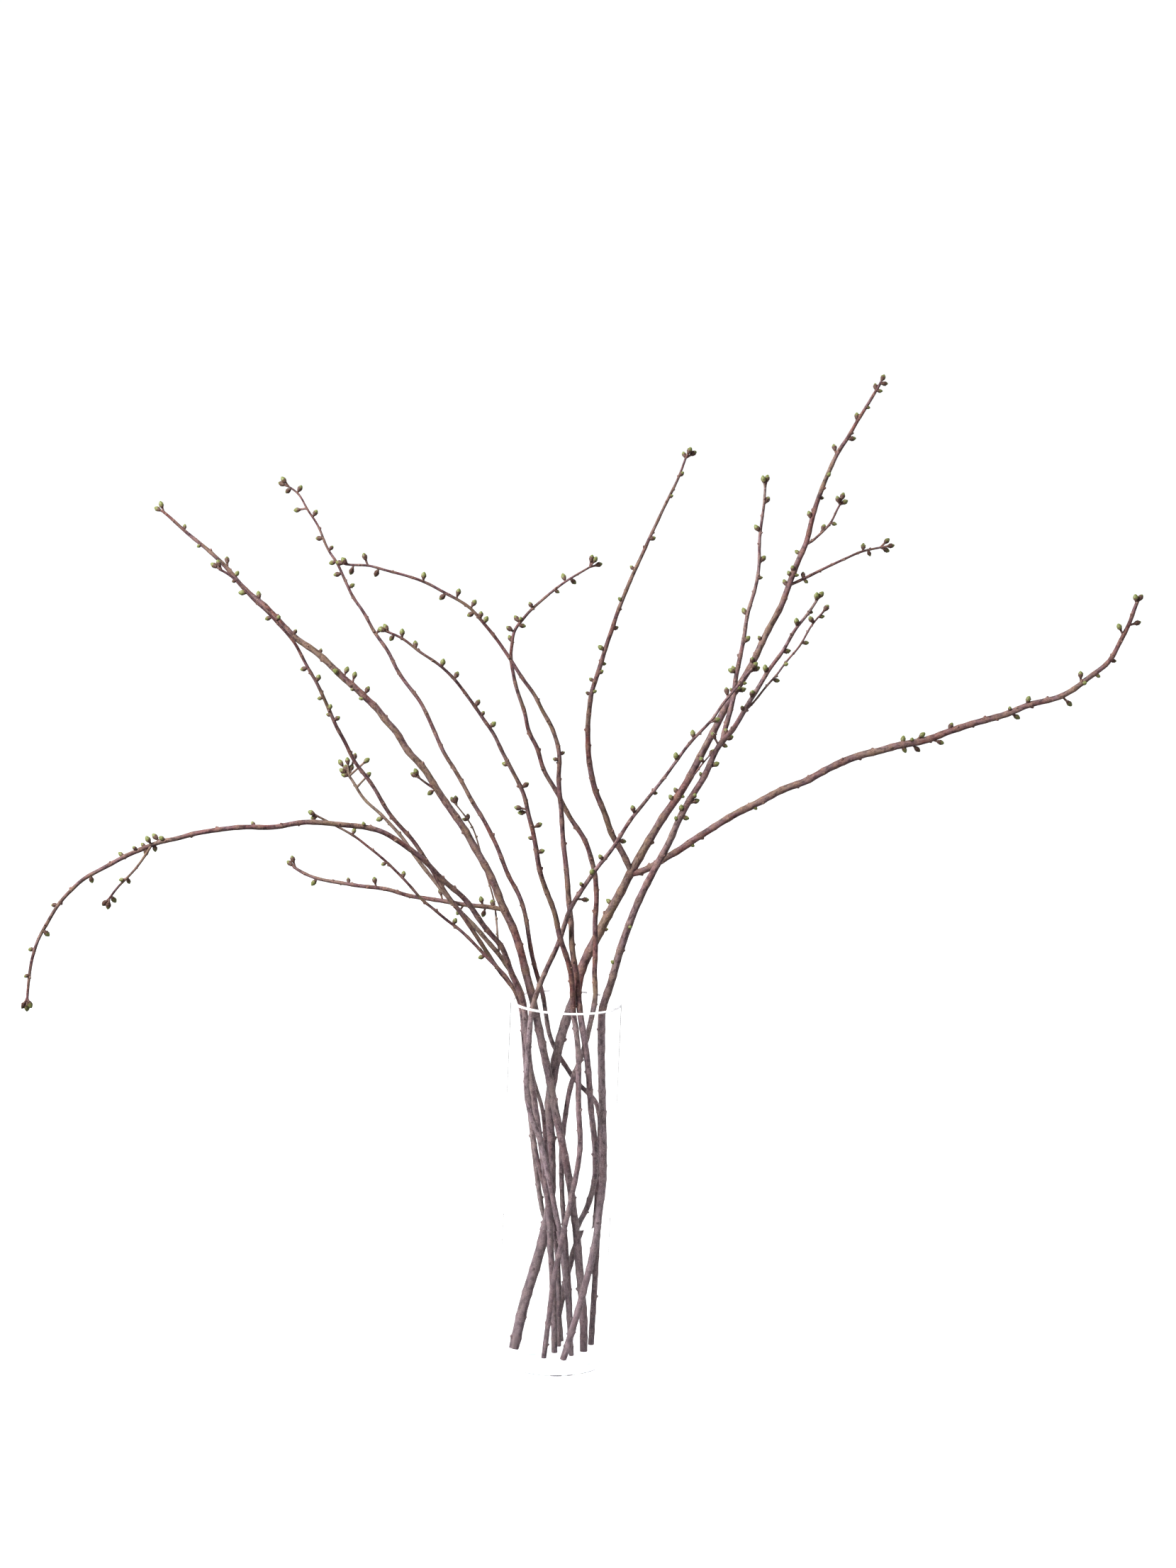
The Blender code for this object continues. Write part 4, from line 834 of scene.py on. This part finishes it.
@dataclass
class Place:
    """Where a bud or a knob stands, in millimetres: its foot, aim, length, twist and ripeness."""

    foot: Vector
    aim: Vector
    length: float
    twist: float
    ripe: float = 0.5

    def turned(self) -> Euler:
        """The rotation that points +Z along the aim, with the place's own twist."""
        facing = self.aim.to_track_quat("Z", "Y")
        return (facing @ Quaternion((0.0, 0.0, 1.0), self.twist)).to_euler()


@dataclass
class Line:
    """One stem's centre line, in millimetres, with what is read along it."""

    points: list
    girths: list
    ages: list
    scars: list
    start: float


class Skeleton:
    """The centre lines, knobs and buds of one branch with its arms and twigs."""

    def __init__(self, growth: Growth) -> None:
        """Lay the branch out.

        Args:
            growth: The branch's layout and seed.
        """
        self.draw = random.Random(growth.seed)
        self.lines: list[Line] = []
        self.buds: list[Place] = []
        self.knobs: list[Place] = []
        self._grow(growth.shoot, None)

    def _grow(self, shoot: Shoot, root: Vector | None) -> None:
        """Lay out a shoot, its buds and its arms."""
        points = [Vector(point) for point in shoot.held]
        flat = [Vector(reading) for reading in shoot.seen]
        for reading, fraction in zip(flat, fractions_along(flat)):
            points.append(sighted(reading.x, reading.y, spread(shoot.behind, fraction)))
        if root is not None:
            points[0] = root
        chain = eased(smooth_chain(points, CURVE_STEP), EASINGS)
        shares = fractions_along(chain)
        girths = [spread(shoot.radii, share) for share in shares]
        ages = [min(max((girth - YOUNG_GIRTH) / AGEING, 0.0), 1.0) for girth in girths]
        scars = [0.0] * len(chain)
        self._add_knobs(chain, girths, scars, bool(shoot.held))
        for order, (across, up, length) in enumerate(shoot.buds):
            self._add_bud(chain, girths, Vector((across, up)), length, order)
        self.lines.append(Line(chain, girths, ages, scars, self.draw.uniform(0.0, LONGEST_START)))
        for arm in shoot.arms:
            index = self._nearest(chain, Vector(arm.seen[0]))
            self._grow(arm, chain[index])

    @staticmethod
    def _nearest(chain: list, reading: Vector) -> int:
        """The number of the chain's point that is seen nearest to a reading."""
        return min(range(len(chain)), key=lambda index: (reading_of(chain[index]) - reading).length)

    def _add_knobs(self, chain: list, girths: list, scars: list, main: bool) -> None:
        """Swell the stem and set a bud scar every little way, each turned on from the last."""
        spacing = STEM_SPACING if main else ARM_SPACING
        turn = self.draw.uniform(0.0, FULL_TURN)
        run = self.draw.uniform(8.0, 20.0)
        length = (len(chain) - 1) * CURVE_STEP
        while run < length - END_ROOM:
            index = min(int(run / CURVE_STEP), len(chain) - 2)
            forward = (chain[index + 1] - chain[index]).normalized()
            sideways = forward.orthogonal().normalized()
            around = Quaternion(forward, turn) @ sideways
            girth = girths[index]
            aim = (around * 0.8 + forward * 0.6).normalized()
            size = self.draw.uniform(*KNOB_SIZES) * (1.35 + 0.36 * girth)
            foot = chain[index] + around * girth * KNOB_SINK
            self.knobs.append(Place(foot, aim, size, self.draw.uniform(0.0, FULL_TURN)))
            for near in range(max(index - 1, 0), min(index + 2, len(chain))):
                fall = 1.0 - abs(near - index) * 0.55
                girths[near] += girth * SWELLING * fall
                scars[near] = max(scars[near], fall)
            turn += KNOB_TURN + self.draw.uniform(-0.3, 0.3)
            run += self.draw.uniform(*spacing)

    def _add_bud(self, chain: list, girths: list, reading: Vector, length: float, order: int) -> None:
        """Set a bud by its tip's reading, on a stalk of wood where it is longer than a bud."""
        index = self._nearest(chain, reading)
        aside = (reading_of(chain[index]) - reading).length
        at_end = index == len(chain) - 1
        reach = max(length, aside + 1.0)
        clear = girths[index] + TIP_ROOM
        toward_viewer = math.sqrt(max(clear * clear - aside * aside, 0.0))
        lean = -toward_viewer if toward_viewer > SIDE_LEAN and not at_end else SIDE_LEAN * (-1) ** order
        tip = sighted(reading.x, reading.y, chain[index].y + lean)
        slide = END_SINK if at_end else math.sqrt(max(reach * reach - aside * aside - lean * lean, 0.0))
        back = min(index, round(slide / CURVE_STEP))
        root = chain[index - back]
        aim = (tip - root).normalized()
        whole = (tip - root).length
        girth = girths[index - back]
        body = min(BUD_LENGTH, max(whole - 0.35 * girth, BUD_SHORTEST))
        foot = tip - aim * body
        stalk = whole - body
        if stalk > girth * 0.5:
            run = [root, root.lerp(foot, 0.5), foot + aim * 0.6]
            thick = [min(STALK_RADIUS * 1.35, girth), STALK_RADIUS, STALK_RADIUS * 1.1]
            begun = self.draw.uniform(0.0, LONGEST_START)
            self.lines.append(Line(run, thick, [0.35] * 3, [0.9, 0.6, 0.9], begun))
        twist = self.draw.uniform(0.0, FULL_TURN)
        self.buds.append(Place(foot, aim, body, twist, self.draw.uniform(0.25, 0.95)))

    def line_object(self, name: str) -> bpy.types.Object:
        """The centre lines as loose edges, with what the bark needs to know stored on their points.

        Args:
            name: The object's name.

        Returns:
            The object, in metres.
        """
        positions = []
        edges = []
        girths = []
        starts = []
        ages = []
        scars = []
        for line in self.lines:
            first = len(positions)
            run = line.start
            for order, point in enumerate(line.points):
                if order:
                    run += (point - line.points[order - 1]).length
                    edges.append((first + order - 1, first + order))
                positions.append(point * MM)
                starts.append(run * MM)
            girths += [girth * MM for girth in line.girths]
            ages += line.ages
            scars += line.scars
        mesh = bpy.data.meshes.new(name)
        mesh.from_pydata(positions, edges, [])
        store(mesh, {"girth": girths, "run": starts, "age": ages, "scar": scars})
        return linked(name, mesh)


def place_object(name: str, places: list) -> bpy.types.Object:
    """Places as loose points, with how each is turned, sized and how ripe it is.

    Args:
        name: The object's name.
        places: The buds or knobs to hold.

    Returns:
        The object, in metres.
    """
    mesh = bpy.data.meshes.new(name)
    mesh.from_pydata([place.foot * MM for place in places], [], [])
    store_vectors(mesh, "turned", [angle for place in places for angle in place.turned()])
    store(mesh, {"size": [place.length * MM for place in places], "ripe": [place.ripe for place in places]})
    return linked(name, mesh)


def skinned(work: bmesh.types.BMesh, rows: list, sides: int, name: str) -> bpy.types.Object:
    """Skin the rows of vertices of a turned shape and make it an object.

    Args:
        work: The mesh in work, which is freed.
        rows: Its rings of vertices; one of a single vertex is a point on the axis.
        sides: How many sides it has.
        name: The object's name.

    Returns:
        The object.
    """
    for first, second in zip(rows, rows[1:]):
        for side in range(sides):
            other = (side + 1) % sides
            corners = (first[side % len(first)], first[other % len(first)],
                       second[other % len(second)], second[side % len(second)])
            work.faces.new(list(dict.fromkeys(corners)))
    if len(rows[0]) > 1:
        work.faces.new(list(reversed(rows[0])))
    bmesh.ops.recalc_face_normals(work, faces=work.faces[:])
    mesh = bpy.data.meshes.new(name)
    work.to_mesh(mesh)
    work.free()
    mesh.shade_smooth()
    return linked(name, mesh)


def pattern_object(name: str, rows: tuple, sides: int) -> bpy.types.Object:
    """A small turned shape that is repeated, one long along +Z.

    Args:
        name: The object's name.
        rows: (height, radius, lip) of each ring; a lip of 1 scallops it as the edge of scales does.
        sides: How many sides it has.

    Returns:
        The object, with its height and lips stored on its points.
    """
    work = bmesh.new()
    along_layer = work.verts.layers.float.new("along")
    lip_layer = work.verts.layers.float.new("lip")
    rings = []
    for order, (height, radius, lip) in enumerate(rows):
        ring = []
        for side in range(sides if radius > 0.0 else 1):
            angle = 2 * math.pi * (side + 0.5 * (order // 2 % 2)) / sides
            rise = 0.055 * lip * (1 if side % 2 else -1)
            vertex = work.verts.new((radius * math.cos(angle), radius * math.sin(angle), height + rise))
            vertex[along_layer] = height
            vertex[lip_layer] = lip
            ring.append(vertex)
        rings.append(ring)
    return skinned(work, rings, sides, name)


class Grower:
    """Geometry Nodes trees that grow skin over centre lines and set buds or knobs on their places."""

    def __init__(self) -> None:
        """Build both trees."""
        self.skin = self._skin_tree()
        self.scatter = self._scatter_tree()

    @staticmethod
    def _new_tree(name: str, sockets: tuple) -> tuple[bpy.types.NodeTree, Wiring, dict, bpy.types.Node]:
        """A tree with a geometry in and out and the named inputs, which are given back by name."""
        tree = bpy.data.node_groups.new(name, "GeometryNodeTree")
        tree.interface.new_socket("Geometry", in_out="INPUT", socket_type="NodeSocketGeometry")
        for label, kind in sockets:
            tree.interface.new_socket(label, in_out="INPUT", socket_type=kind)
        tree.interface.new_socket("Geometry", in_out="OUTPUT", socket_type="NodeSocketGeometry")
        wiring = Wiring(tree)
        given = {socket.name: socket for socket in wiring.node("NodeGroupInput").outputs}
        return tree, wiring, given, wiring.node("NodeGroupOutput")

    def _skin_tree(self) -> bpy.types.NodeTree:
        """The tree that sweeps a round, slightly uneven skin along centre lines."""
        tree, wiring, given, result = self._new_tree("stem_skin", (
            ("Sides", "NodeSocketInt"), ("Unevenness", "NodeSocketFloat"),
            ("Material", "NodeSocketMaterial")))
        curve = wiring.output("GeometryNodeMeshToCurve", None, {0: given["Geometry"]})
        girth = self._read(wiring, "girth")
        circle = wiring.output("GeometryNodeCurvePrimitiveCircle", {"mode": "RADIUS"}, {
            "Resolution": given["Sides"], "Radius": 1.0})
        around = wiring.output("GeometryNodeInputPosition")
        circle = self._store(wiring, circle, "ring", "FLOAT_VECTOR", around)
        mesh = wiring.output("GeometryNodeCurveToMesh", None, {
            "Curve": curve, "Profile Curve": circle, "Scale": girth, "Fill Caps": True})
        ring = wiring.output("ShaderNodeVectorMath", {"operation": "SCALE"}, {
            0: self._read(wiring, "ring", "FLOAT_VECTOR"), "Scale": self._read(wiring, "girth")})
        parts = wiring.node("ShaderNodeSeparateXYZ", None, {0: ring})
        grain = wiring.output("ShaderNodeCombineXYZ", None, {
            "X": parts.outputs["X"], "Y": parts.outputs["Y"], "Z": self._read(wiring, "run")})
        mesh = self._store(wiring, mesh, "grain", "FLOAT_VECTOR", grain)
        wander = wiring.noise(grain, (360.0, 360.0, 70.0), 3.0, 0.55)
        thickness = wiring.signal(self._read(wiring, "girth"))
        push = (wander - 0.5) * wiring.signal(given["Unevenness"]) * thickness
        normal = wiring.output("GeometryNodeInputNormal")
        offset = wiring.output("ShaderNodeVectorMath", {"operation": "SCALE"}, {0: normal, "Scale": push})
        mesh = wiring.output("GeometryNodeSetPosition", None, {"Geometry": mesh, "Offset": offset})
        mesh = wiring.output("GeometryNodeSetShadeSmooth", None, {0: mesh})
        self._finish(wiring, mesh, given, result)
        return tree

    def _scatter_tree(self) -> bpy.types.NodeTree:
        """The tree that puts a shape on every place, turned and sized as the place says."""
        tree, wiring, given, result = self._new_tree("growth_scatter", (
            ("Shape", "NodeSocketObject"), ("Thickness", "NodeSocketFloat"),
            ("Material", "NodeSocketMaterial")))
        shape = wiring.node("GeometryNodeObjectInfo", None, {"Object": given["Shape"]}).outputs["Geometry"]
        size = self._read(wiring, "size")
        wide = wiring.signal(size) * wiring.signal(given["Thickness"])
        scale = wiring.output("ShaderNodeCombineXYZ", None, {"X": wide, "Y": wide, "Z": size})
        placed = wiring.output("GeometryNodeInstanceOnPoints", None, {
            "Points": given["Geometry"], "Instance": shape,
            "Rotation": self._read(wiring, "turned", "FLOAT_VECTOR"), "Scale": scale})
        self._finish(wiring, placed, given, result)
        return tree

    @staticmethod
    def _finish(wiring: Wiring, geometry: object, given: dict, result: bpy.types.Node) -> None:
        """Make a tree's geometry real, give it the material and hand it out."""
        realized = wiring.output("GeometryNodeRealizeInstances", None, {0: geometry})
        dressed = wiring.output("GeometryNodeSetMaterial", None, {
            "Geometry": realized, "Material": given["Material"]})
        wiring.feed(result.inputs[0], dressed)

    @staticmethod
    def _read(wiring: Wiring, name: str, kind: str = "FLOAT") -> bpy.types.NodeSocket:
        """The output of a named attribute."""
        node = wiring.node("GeometryNodeInputNamedAttribute", {"data_type": kind}, {"Name": name})
        return next(socket for socket in node.outputs if socket.enabled)

    @staticmethod
    def _store(wiring: Wiring, geometry: object, name: str, kind: str,
               value: object) -> bpy.types.NodeSocket:
        """Store a value on every point under a name."""
        node = wiring.node("GeometryNodeStoreNamedAttribute", {"data_type": kind, "domain": "POINT"}, {
            "Geometry": geometry, "Name": name})
        place = next(socket for socket in node.inputs if socket.name == "Value" and socket.enabled)
        wiring.feed(place, value)
        return node.outputs[0]

    @staticmethod
    def applied(thing: bpy.types.Object, tree: bpy.types.NodeTree, values: dict,
                name: str) -> bpy.types.Object:
        """Run a tree on an object and keep the result as a plain mesh.

        Args:
            thing: The object that the tree starts from, which is removed.
            tree: The Geometry Nodes tree.
            values: The named inputs.
            name: The finished object's name.

        Returns:
            The finished object.
        """
        modifier = thing.modifiers.new("growth", "NODES")
        modifier.node_group = tree
        for socket in tree.interface.items_tree:
            if socket.item_type == "SOCKET" and socket.in_out == "INPUT" and socket.name in values:
                modifier[socket.identifier] = values[socket.name]
        graph = bpy.context.evaluated_depsgraph_get()
        graph.update()
        mesh = bpy.data.meshes.new_from_object(thing.evaluated_get(graph))
        mesh.name = name
        thing.modifiers.remove(modifier)
        bpy.data.objects.remove(thing, do_unlink=True)
        return linked(name, mesh)

    def scattered(self, name: str, places: list, values: dict) -> bpy.types.Object:
        """Put a shape on every place.

        Args:
            name: The finished object's name.
            places: The buds or knobs to set.
            values: The shape, its thickness and its material, by input.

        Returns:
            The finished object.
        """
        return self.applied(place_object(f"{name}_places", places), self.scatter, values, name)


@dataclass
class Bunch:
    """All the branches: skins, knobs and buds."""

    grower: Grower = field(default_factory=Grower)
    bud_rows: tuple = (
        (0.00, 0.42, 0.0), (0.10, 0.46, 0.0),
        (0.24, 0.74, 1.0), (0.26, 0.66, 0.4),
        (0.42, 1.00, 1.0), (0.45, 0.92, 0.4),
        (0.62, 0.99, 1.0), (0.66, 0.88, 0.4),
        (0.82, 0.64, 0.3), (0.93, 0.36, 0.0), (1.00, 0.0, 0.0),
    )
    knob_rows: tuple = (
        (-0.70, 1.00, 0.0), (0.05, 0.86, 0.0), (0.42, 0.60, 0.0), (0.62, 0.40, 0.0), (0.66, 0.0, 0.0),
    )

    def build(self) -> None:
        """Grow every branch and put it in its solid's place."""
        bud = pattern_object("bud_pattern", self.bud_rows, 8)
        knob = pattern_object("knob_pattern", self.knob_rows, 7)
        barks = {wood: finish.material() for wood, finish in BARKS.items()}
        scales = BUDS.material()
        for growth in GROWTHS:
            skeleton = Skeleton(growth)
            bark = barks[growth.wood]
            skin = self.grower.applied(skeleton.line_object(f"{growth.node}_lines"), self.grower.skin, {
                "Sides": STEM_SIDES if growth.shoot.radii[0] > THICK_STEM else TWIG_SIDES,
                "Unevenness": SKIN_UNEVENNESS, "Material": bark}, f"{growth.node}_skin")
            knobs = self.grower.scattered(f"{growth.node}_knobs", skeleton.knobs, {
                "Shape": knob, "Thickness": KNOB_FATNESS, "Material": bark})
            fill_attributes(knobs.data, growth.seed)
            wood = joined(skin, knobs, f"{growth.node}_wood")
            buds = self.grower.scattered(f"{growth.node}_buds", skeleton.buds, {
                "Shape": bud, "Thickness": BUD_FATNESS, "Material": scales})
            kept_inside(wood.data)
            kept_inside(buds.data)
            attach(wood, "root")
            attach(buds, "root")
            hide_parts(growth.node)
            faces = len(wood.data.polygons)
            log.info("%s: %d faces of wood, %d buds", growth.node, faces, len(skeleton.buds))
        bpy.data.objects.remove(bud, do_unlink=True)
        bpy.data.objects.remove(knob, do_unlink=True)


def fill_attributes(mesh: bpy.types.Mesh, seed: int) -> None:
    """Give knobs the grain, age and scar that the bark reads.

    Args:
        mesh: The knobs' mesh.
        seed: Shifts the grain, so that branches differ.
    """
    store_vectors(mesh, "grain", [value + seed for vertex in mesh.vertices for value in vertex.co])
    store(mesh, {"age": [0.4] * len(mesh.vertices), "scar": [0.8] * len(mesh.vertices)})


def kept_inside(mesh: bpy.types.Mesh) -> None:
    """Hold every point of a mesh inside the solids' own box and just above the vase's inner floor.

    Args:
        mesh: The mesh, in metres.
    """
    low, high = CAD_BOX
    low = (low[0], low[1], CylinderVase.floor + SEAT_GAP)
    for vertex in mesh.vertices:
        vertex.co = [min(max(value, least), most) for value, least, most in zip(vertex.co, low, high)]


def joined(first: bpy.types.Object, second: bpy.types.Object, name: str) -> bpy.types.Object:
    """Join two plain objects into one under a new name."""
    with bpy.context.temp_override(active_object=first, selected_editable_objects=[first, second]):
        bpy.ops.object.join()
    first.name = name
    return first


def turned_object(name: str, profile: list, segments: int) -> bpy.types.Object:
    """A round closed body turned from (radius, height) points, in metres.

    Args:
        name: The object's name.
        profile: Points whose first and last lie on the axis.
        segments: How many segments round.

    Returns:
        The object.
    """
    work = bmesh.new()
    rows = []
    for radius, height in profile:
        count = segments if radius > 0.0 else 1
        row = []
        for segment in range(count):
            angle = 2 * math.pi * segment / segments
            row.append(work.verts.new((radius * math.cos(angle), radius * math.sin(angle), height)))
        rows.append(row)
    thing = skinned(work, rows, segments, name)
    thing.data.set_sharp_from_angle(angle=math.radians(SHARP_ANGLE))
    return thing


def arc(centre: tuple, radius: float, start: float, end: float, count: int) -> list:
    """Points of a (radius, height) profile round an arc, angles in degrees."""
    points = []
    for index in range(count + 1):
        angle = math.radians(start + (end - start) * index / count)
        points.append((centre[0] + radius * math.cos(angle), centre[1] + radius * math.sin(angle)))
    return points


@dataclass
class CylinderVase:
    """The clear glass cylinder with its thick floor, and the water that it holds."""

    radius: float = 0.060
    wall: float = 0.004
    floor: float = 0.010
    rim_round: float = 0.0019
    foot_round: float = 0.0022
    corner_round: float = 0.0035
    water_level: float = 0.160
    meniscus: float = 0.0012
    meniscus_reach: float = 0.0018
    overlap: float = 0.00012
    segments: int = 160

    def build(self) -> None:
        """Build the glass and the water in their solids' places."""
        inner = self.radius - self.wall
        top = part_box("vase")[1].z
        rim = self.wall / 2
        profile = [(0.0, self.floor)]
        corner = self.corner_round
        profile += arc((inner - corner, self.floor + corner), corner, -90, 0, 8)
        profile += arc((inner + rim, top - rim), rim, 180, 0, 10)
        profile += arc((self.radius - self.foot_round, self.foot_round), self.foot_round, 0, -90, 8)
        profile += [(0.0, 0.0)]
        glass = turned_object("vase_glass", profile, self.segments)
        glass.data.materials.append(self.glass_material(top))
        glass.visible_shadow = False
        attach(glass, "root")
        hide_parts("vase")

        edge = inner + self.overlap
        bottom = self.floor - self.overlap
        profile = [(0.0, self.water_level)]
        for share in (0.80, 0.86, 0.90, 0.93, 0.96, 0.98, 0.99, 1.0):
            rise = self.meniscus * math.exp(-(1.0 - share) * edge / self.meniscus_reach)
            profile.append((edge * share, self.water_level + rise))
        profile += arc((edge - corner, bottom + corner), corner, 0, -90, 8)
        profile += [(0.0, bottom)]
        water = turned_object("vase_water", profile, self.segments)
        water.data.materials.append(self.water_material())
        water.visible_shadow = False
        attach(water, "root")
        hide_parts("water")
        log.info("vase and water built")

    @staticmethod
    def glass_material(top: float) -> bpy.types.Material:
        """Clear soda glass with a painted highlight at the lip: a white diffuse ring stands in for the light
        that the rounded rim catches.

        Args:
            top: How high the lip stands.

        Returns:
            The material.
        """
        material, wiring, shader = fresh_material("clear_glass", CLEAR)
        place = wiring.node("ShaderNodeTexCoord").outputs["Object"]
        height = wiring.height(place)
        swirl = wiring.noise(place, (34.0, 34.0, 210.0), 3.0, 0.55).ramp(0.50, 0.68)
        foot = height.ramp(0.024, 0.010) * swirl
        wiring.feed(shader.inputs["Base Color"], wiring.blended(foot, (1.0, 1.0, 1.0), (0.52, 0.60, 0.78)))
        painted_rim_highlight = wiring.output("ShaderNodeBsdfDiffuse", None, {
            "Color": (0.95, 0.95, 0.96, 1.0), "Roughness": 0.4})
        # Painted highlight: the top millimetres of the rim turn towards the white diffuse ring, in place of
        # the light that the rim catches.
        lip = height.ramp(top - 0.0022, top - 0.0012) * 0.85
        mixed = wiring.output("ShaderNodeMixShader", None, {0: lip, 1: shader.outputs[0], 2: painted_rim_highlight})
        wiring.feed(material.node_tree.nodes["Material Output"].inputs["Surface"], mixed)
        return material

    @staticmethod
    def water_material() -> bpy.types.Material:
        """Clear still water."""
        return fresh_material("still_water", {"Base Color": (1.0, 1.0, 1.0, 1.0), **CLEAR})[0]


@dataclass
class Studio:
    """The white floor, the soft lights and the camera at the viewer's eye."""

    floor_half: float = 30.0
    floor_height: float = -SEAT_GAP
    glass_bounces: int = 64
    world_white: float = 1.02
    floor_glow: float = 0.96
    room: tuple = (0.42, 0.42, 0.44)

    def build(self) -> None:
        """Build the floor, the lights and the camera."""
        self._floor()
        self._world()
        self._light("key_panel", (-2.3, -1.5, 2.7), (0.0, 0.0, 0.6), 0.8, 330.0)
        self._light("side_panel", (1.9, -1.9, 1.6), (0.1, 0.0, 0.6), 1.2, 12.0)
        self._light("back_panel", (1.4, 2.6, 2.4), (0.0, 0.0, 0.6), 1.4, 70.0)
        self._camera()
        scene = bpy.context.scene
        scene.view_settings.view_transform = "Standard"
        scene.cycles.max_bounces = self.glass_bounces
        scene.cycles.transmission_bounces = self.glass_bounces
        scene.cycles.glossy_bounces = self.glass_bounces
        log.info("studio built")

    def _floor(self) -> None:
        """A pale floor that reaches well past the view."""
        half = self.floor_half
        mesh = bpy.data.meshes.new("studio_floor")
        low = self.floor_height
        corners = [(-half, -half, low), (half, -half, low), (half, half, low), (-half, half, low)]
        mesh.from_pydata(corners, [], [(0, 1, 2, 3)])
        floor = linked("studio_floor", mesh)
        material, _, _ = fresh_material("pale_floor", {
            "Base Color": (0.32, 0.32, 0.32, 1.0), "Roughness": 0.8,
            "Emission Color": (1.0, 1.0, 1.0, 1.0), "Emission Strength": self.floor_glow})
        mesh.materials.append(material)
        floor.visible_diffuse = False
        floor.visible_glossy = False

    def _world(self) -> None:
        """A white backdrop wherever one looks, lit by a white wall ahead and a dimmer room all round."""
        world = bpy.data.worlds.new("white_surround")
        world.use_nodes = True
        wiring = Wiring(world.node_tree)
        background = world.node_tree.nodes["Background"]
        way = wiring.node("ShaderNodeTexCoord").outputs["Generated"]
        parts = wiring.node("ShaderNodeSeparateXYZ", None, {0: way})
        ahead = wiring.signal(parts.outputs["Y"]).ramp(0.25, 0.75)
        level = wiring.signal(parts.outputs["Z"]).ramp(0.60, 0.38)
        ray = wiring.node("ShaderNodeLightPath")
        looked = wiring.signal(ray.outputs["Is Camera Ray"]) + ray.outputs["Is Transmission Ray"]
        share = (ahead * level + looked).clamped()
        wiring.feed(background.inputs["Color"], wiring.blended(share, self.room, (1.0, 1.0, 1.0)))
        background.inputs["Strength"].default_value = self.world_white
        bpy.context.scene.world = world

    @staticmethod
    def _light(name: str, place: tuple, aim: tuple, size: float, power: float) -> None:
        """A soft square panel of light.

        Args:
            name: The light's name.
            place: Where it hangs.
            aim: The point that it faces.
            size: Its side.
            power: Its power in watts.
        """
        light = bpy.data.lights.new(name, "AREA")
        light.size = size
        light.energy = power
        lamp = linked(name, light)
        lamp.location = place
        lamp.rotation_euler = (Vector(aim) - Vector(place)).to_track_quat("-Z", "Y").to_euler()
        lamp.visible_camera = False
        lamp.visible_transmission = False

    @staticmethod
    def _camera() -> None:
        """The camera at the viewer's eye, looking slightly down and held slightly askew."""
        lens = bpy.data.cameras.new("viewer")
        lens.sensor_width = FILM_LENGTH
        lens.lens = LENS
        lens.clip_end = 200.0
        camera = linked("viewer", lens)
        level = Matrix.Rotation(math.radians(90.0 + EYE_PITCH), 4, "X")
        roll = Matrix.Rotation(math.radians(EYE_ROLL), 4, "Z")
        camera.matrix_world = Matrix.Translation(Vector((EYE_ACROSS, -EYE_AWAY, EYE_UP)) * MM) @ level @ roll
        bpy.context.scene.camera = camera


def main() -> None:
    """Build the studio, the vase and the bunch."""
    logging.basicConfig(level=logging.INFO, format="%(name)s: %(message)s")
    Studio().build()
    CylinderVase().build()
    Bunch().build()
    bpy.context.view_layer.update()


if __name__ == "__main__":
    main()
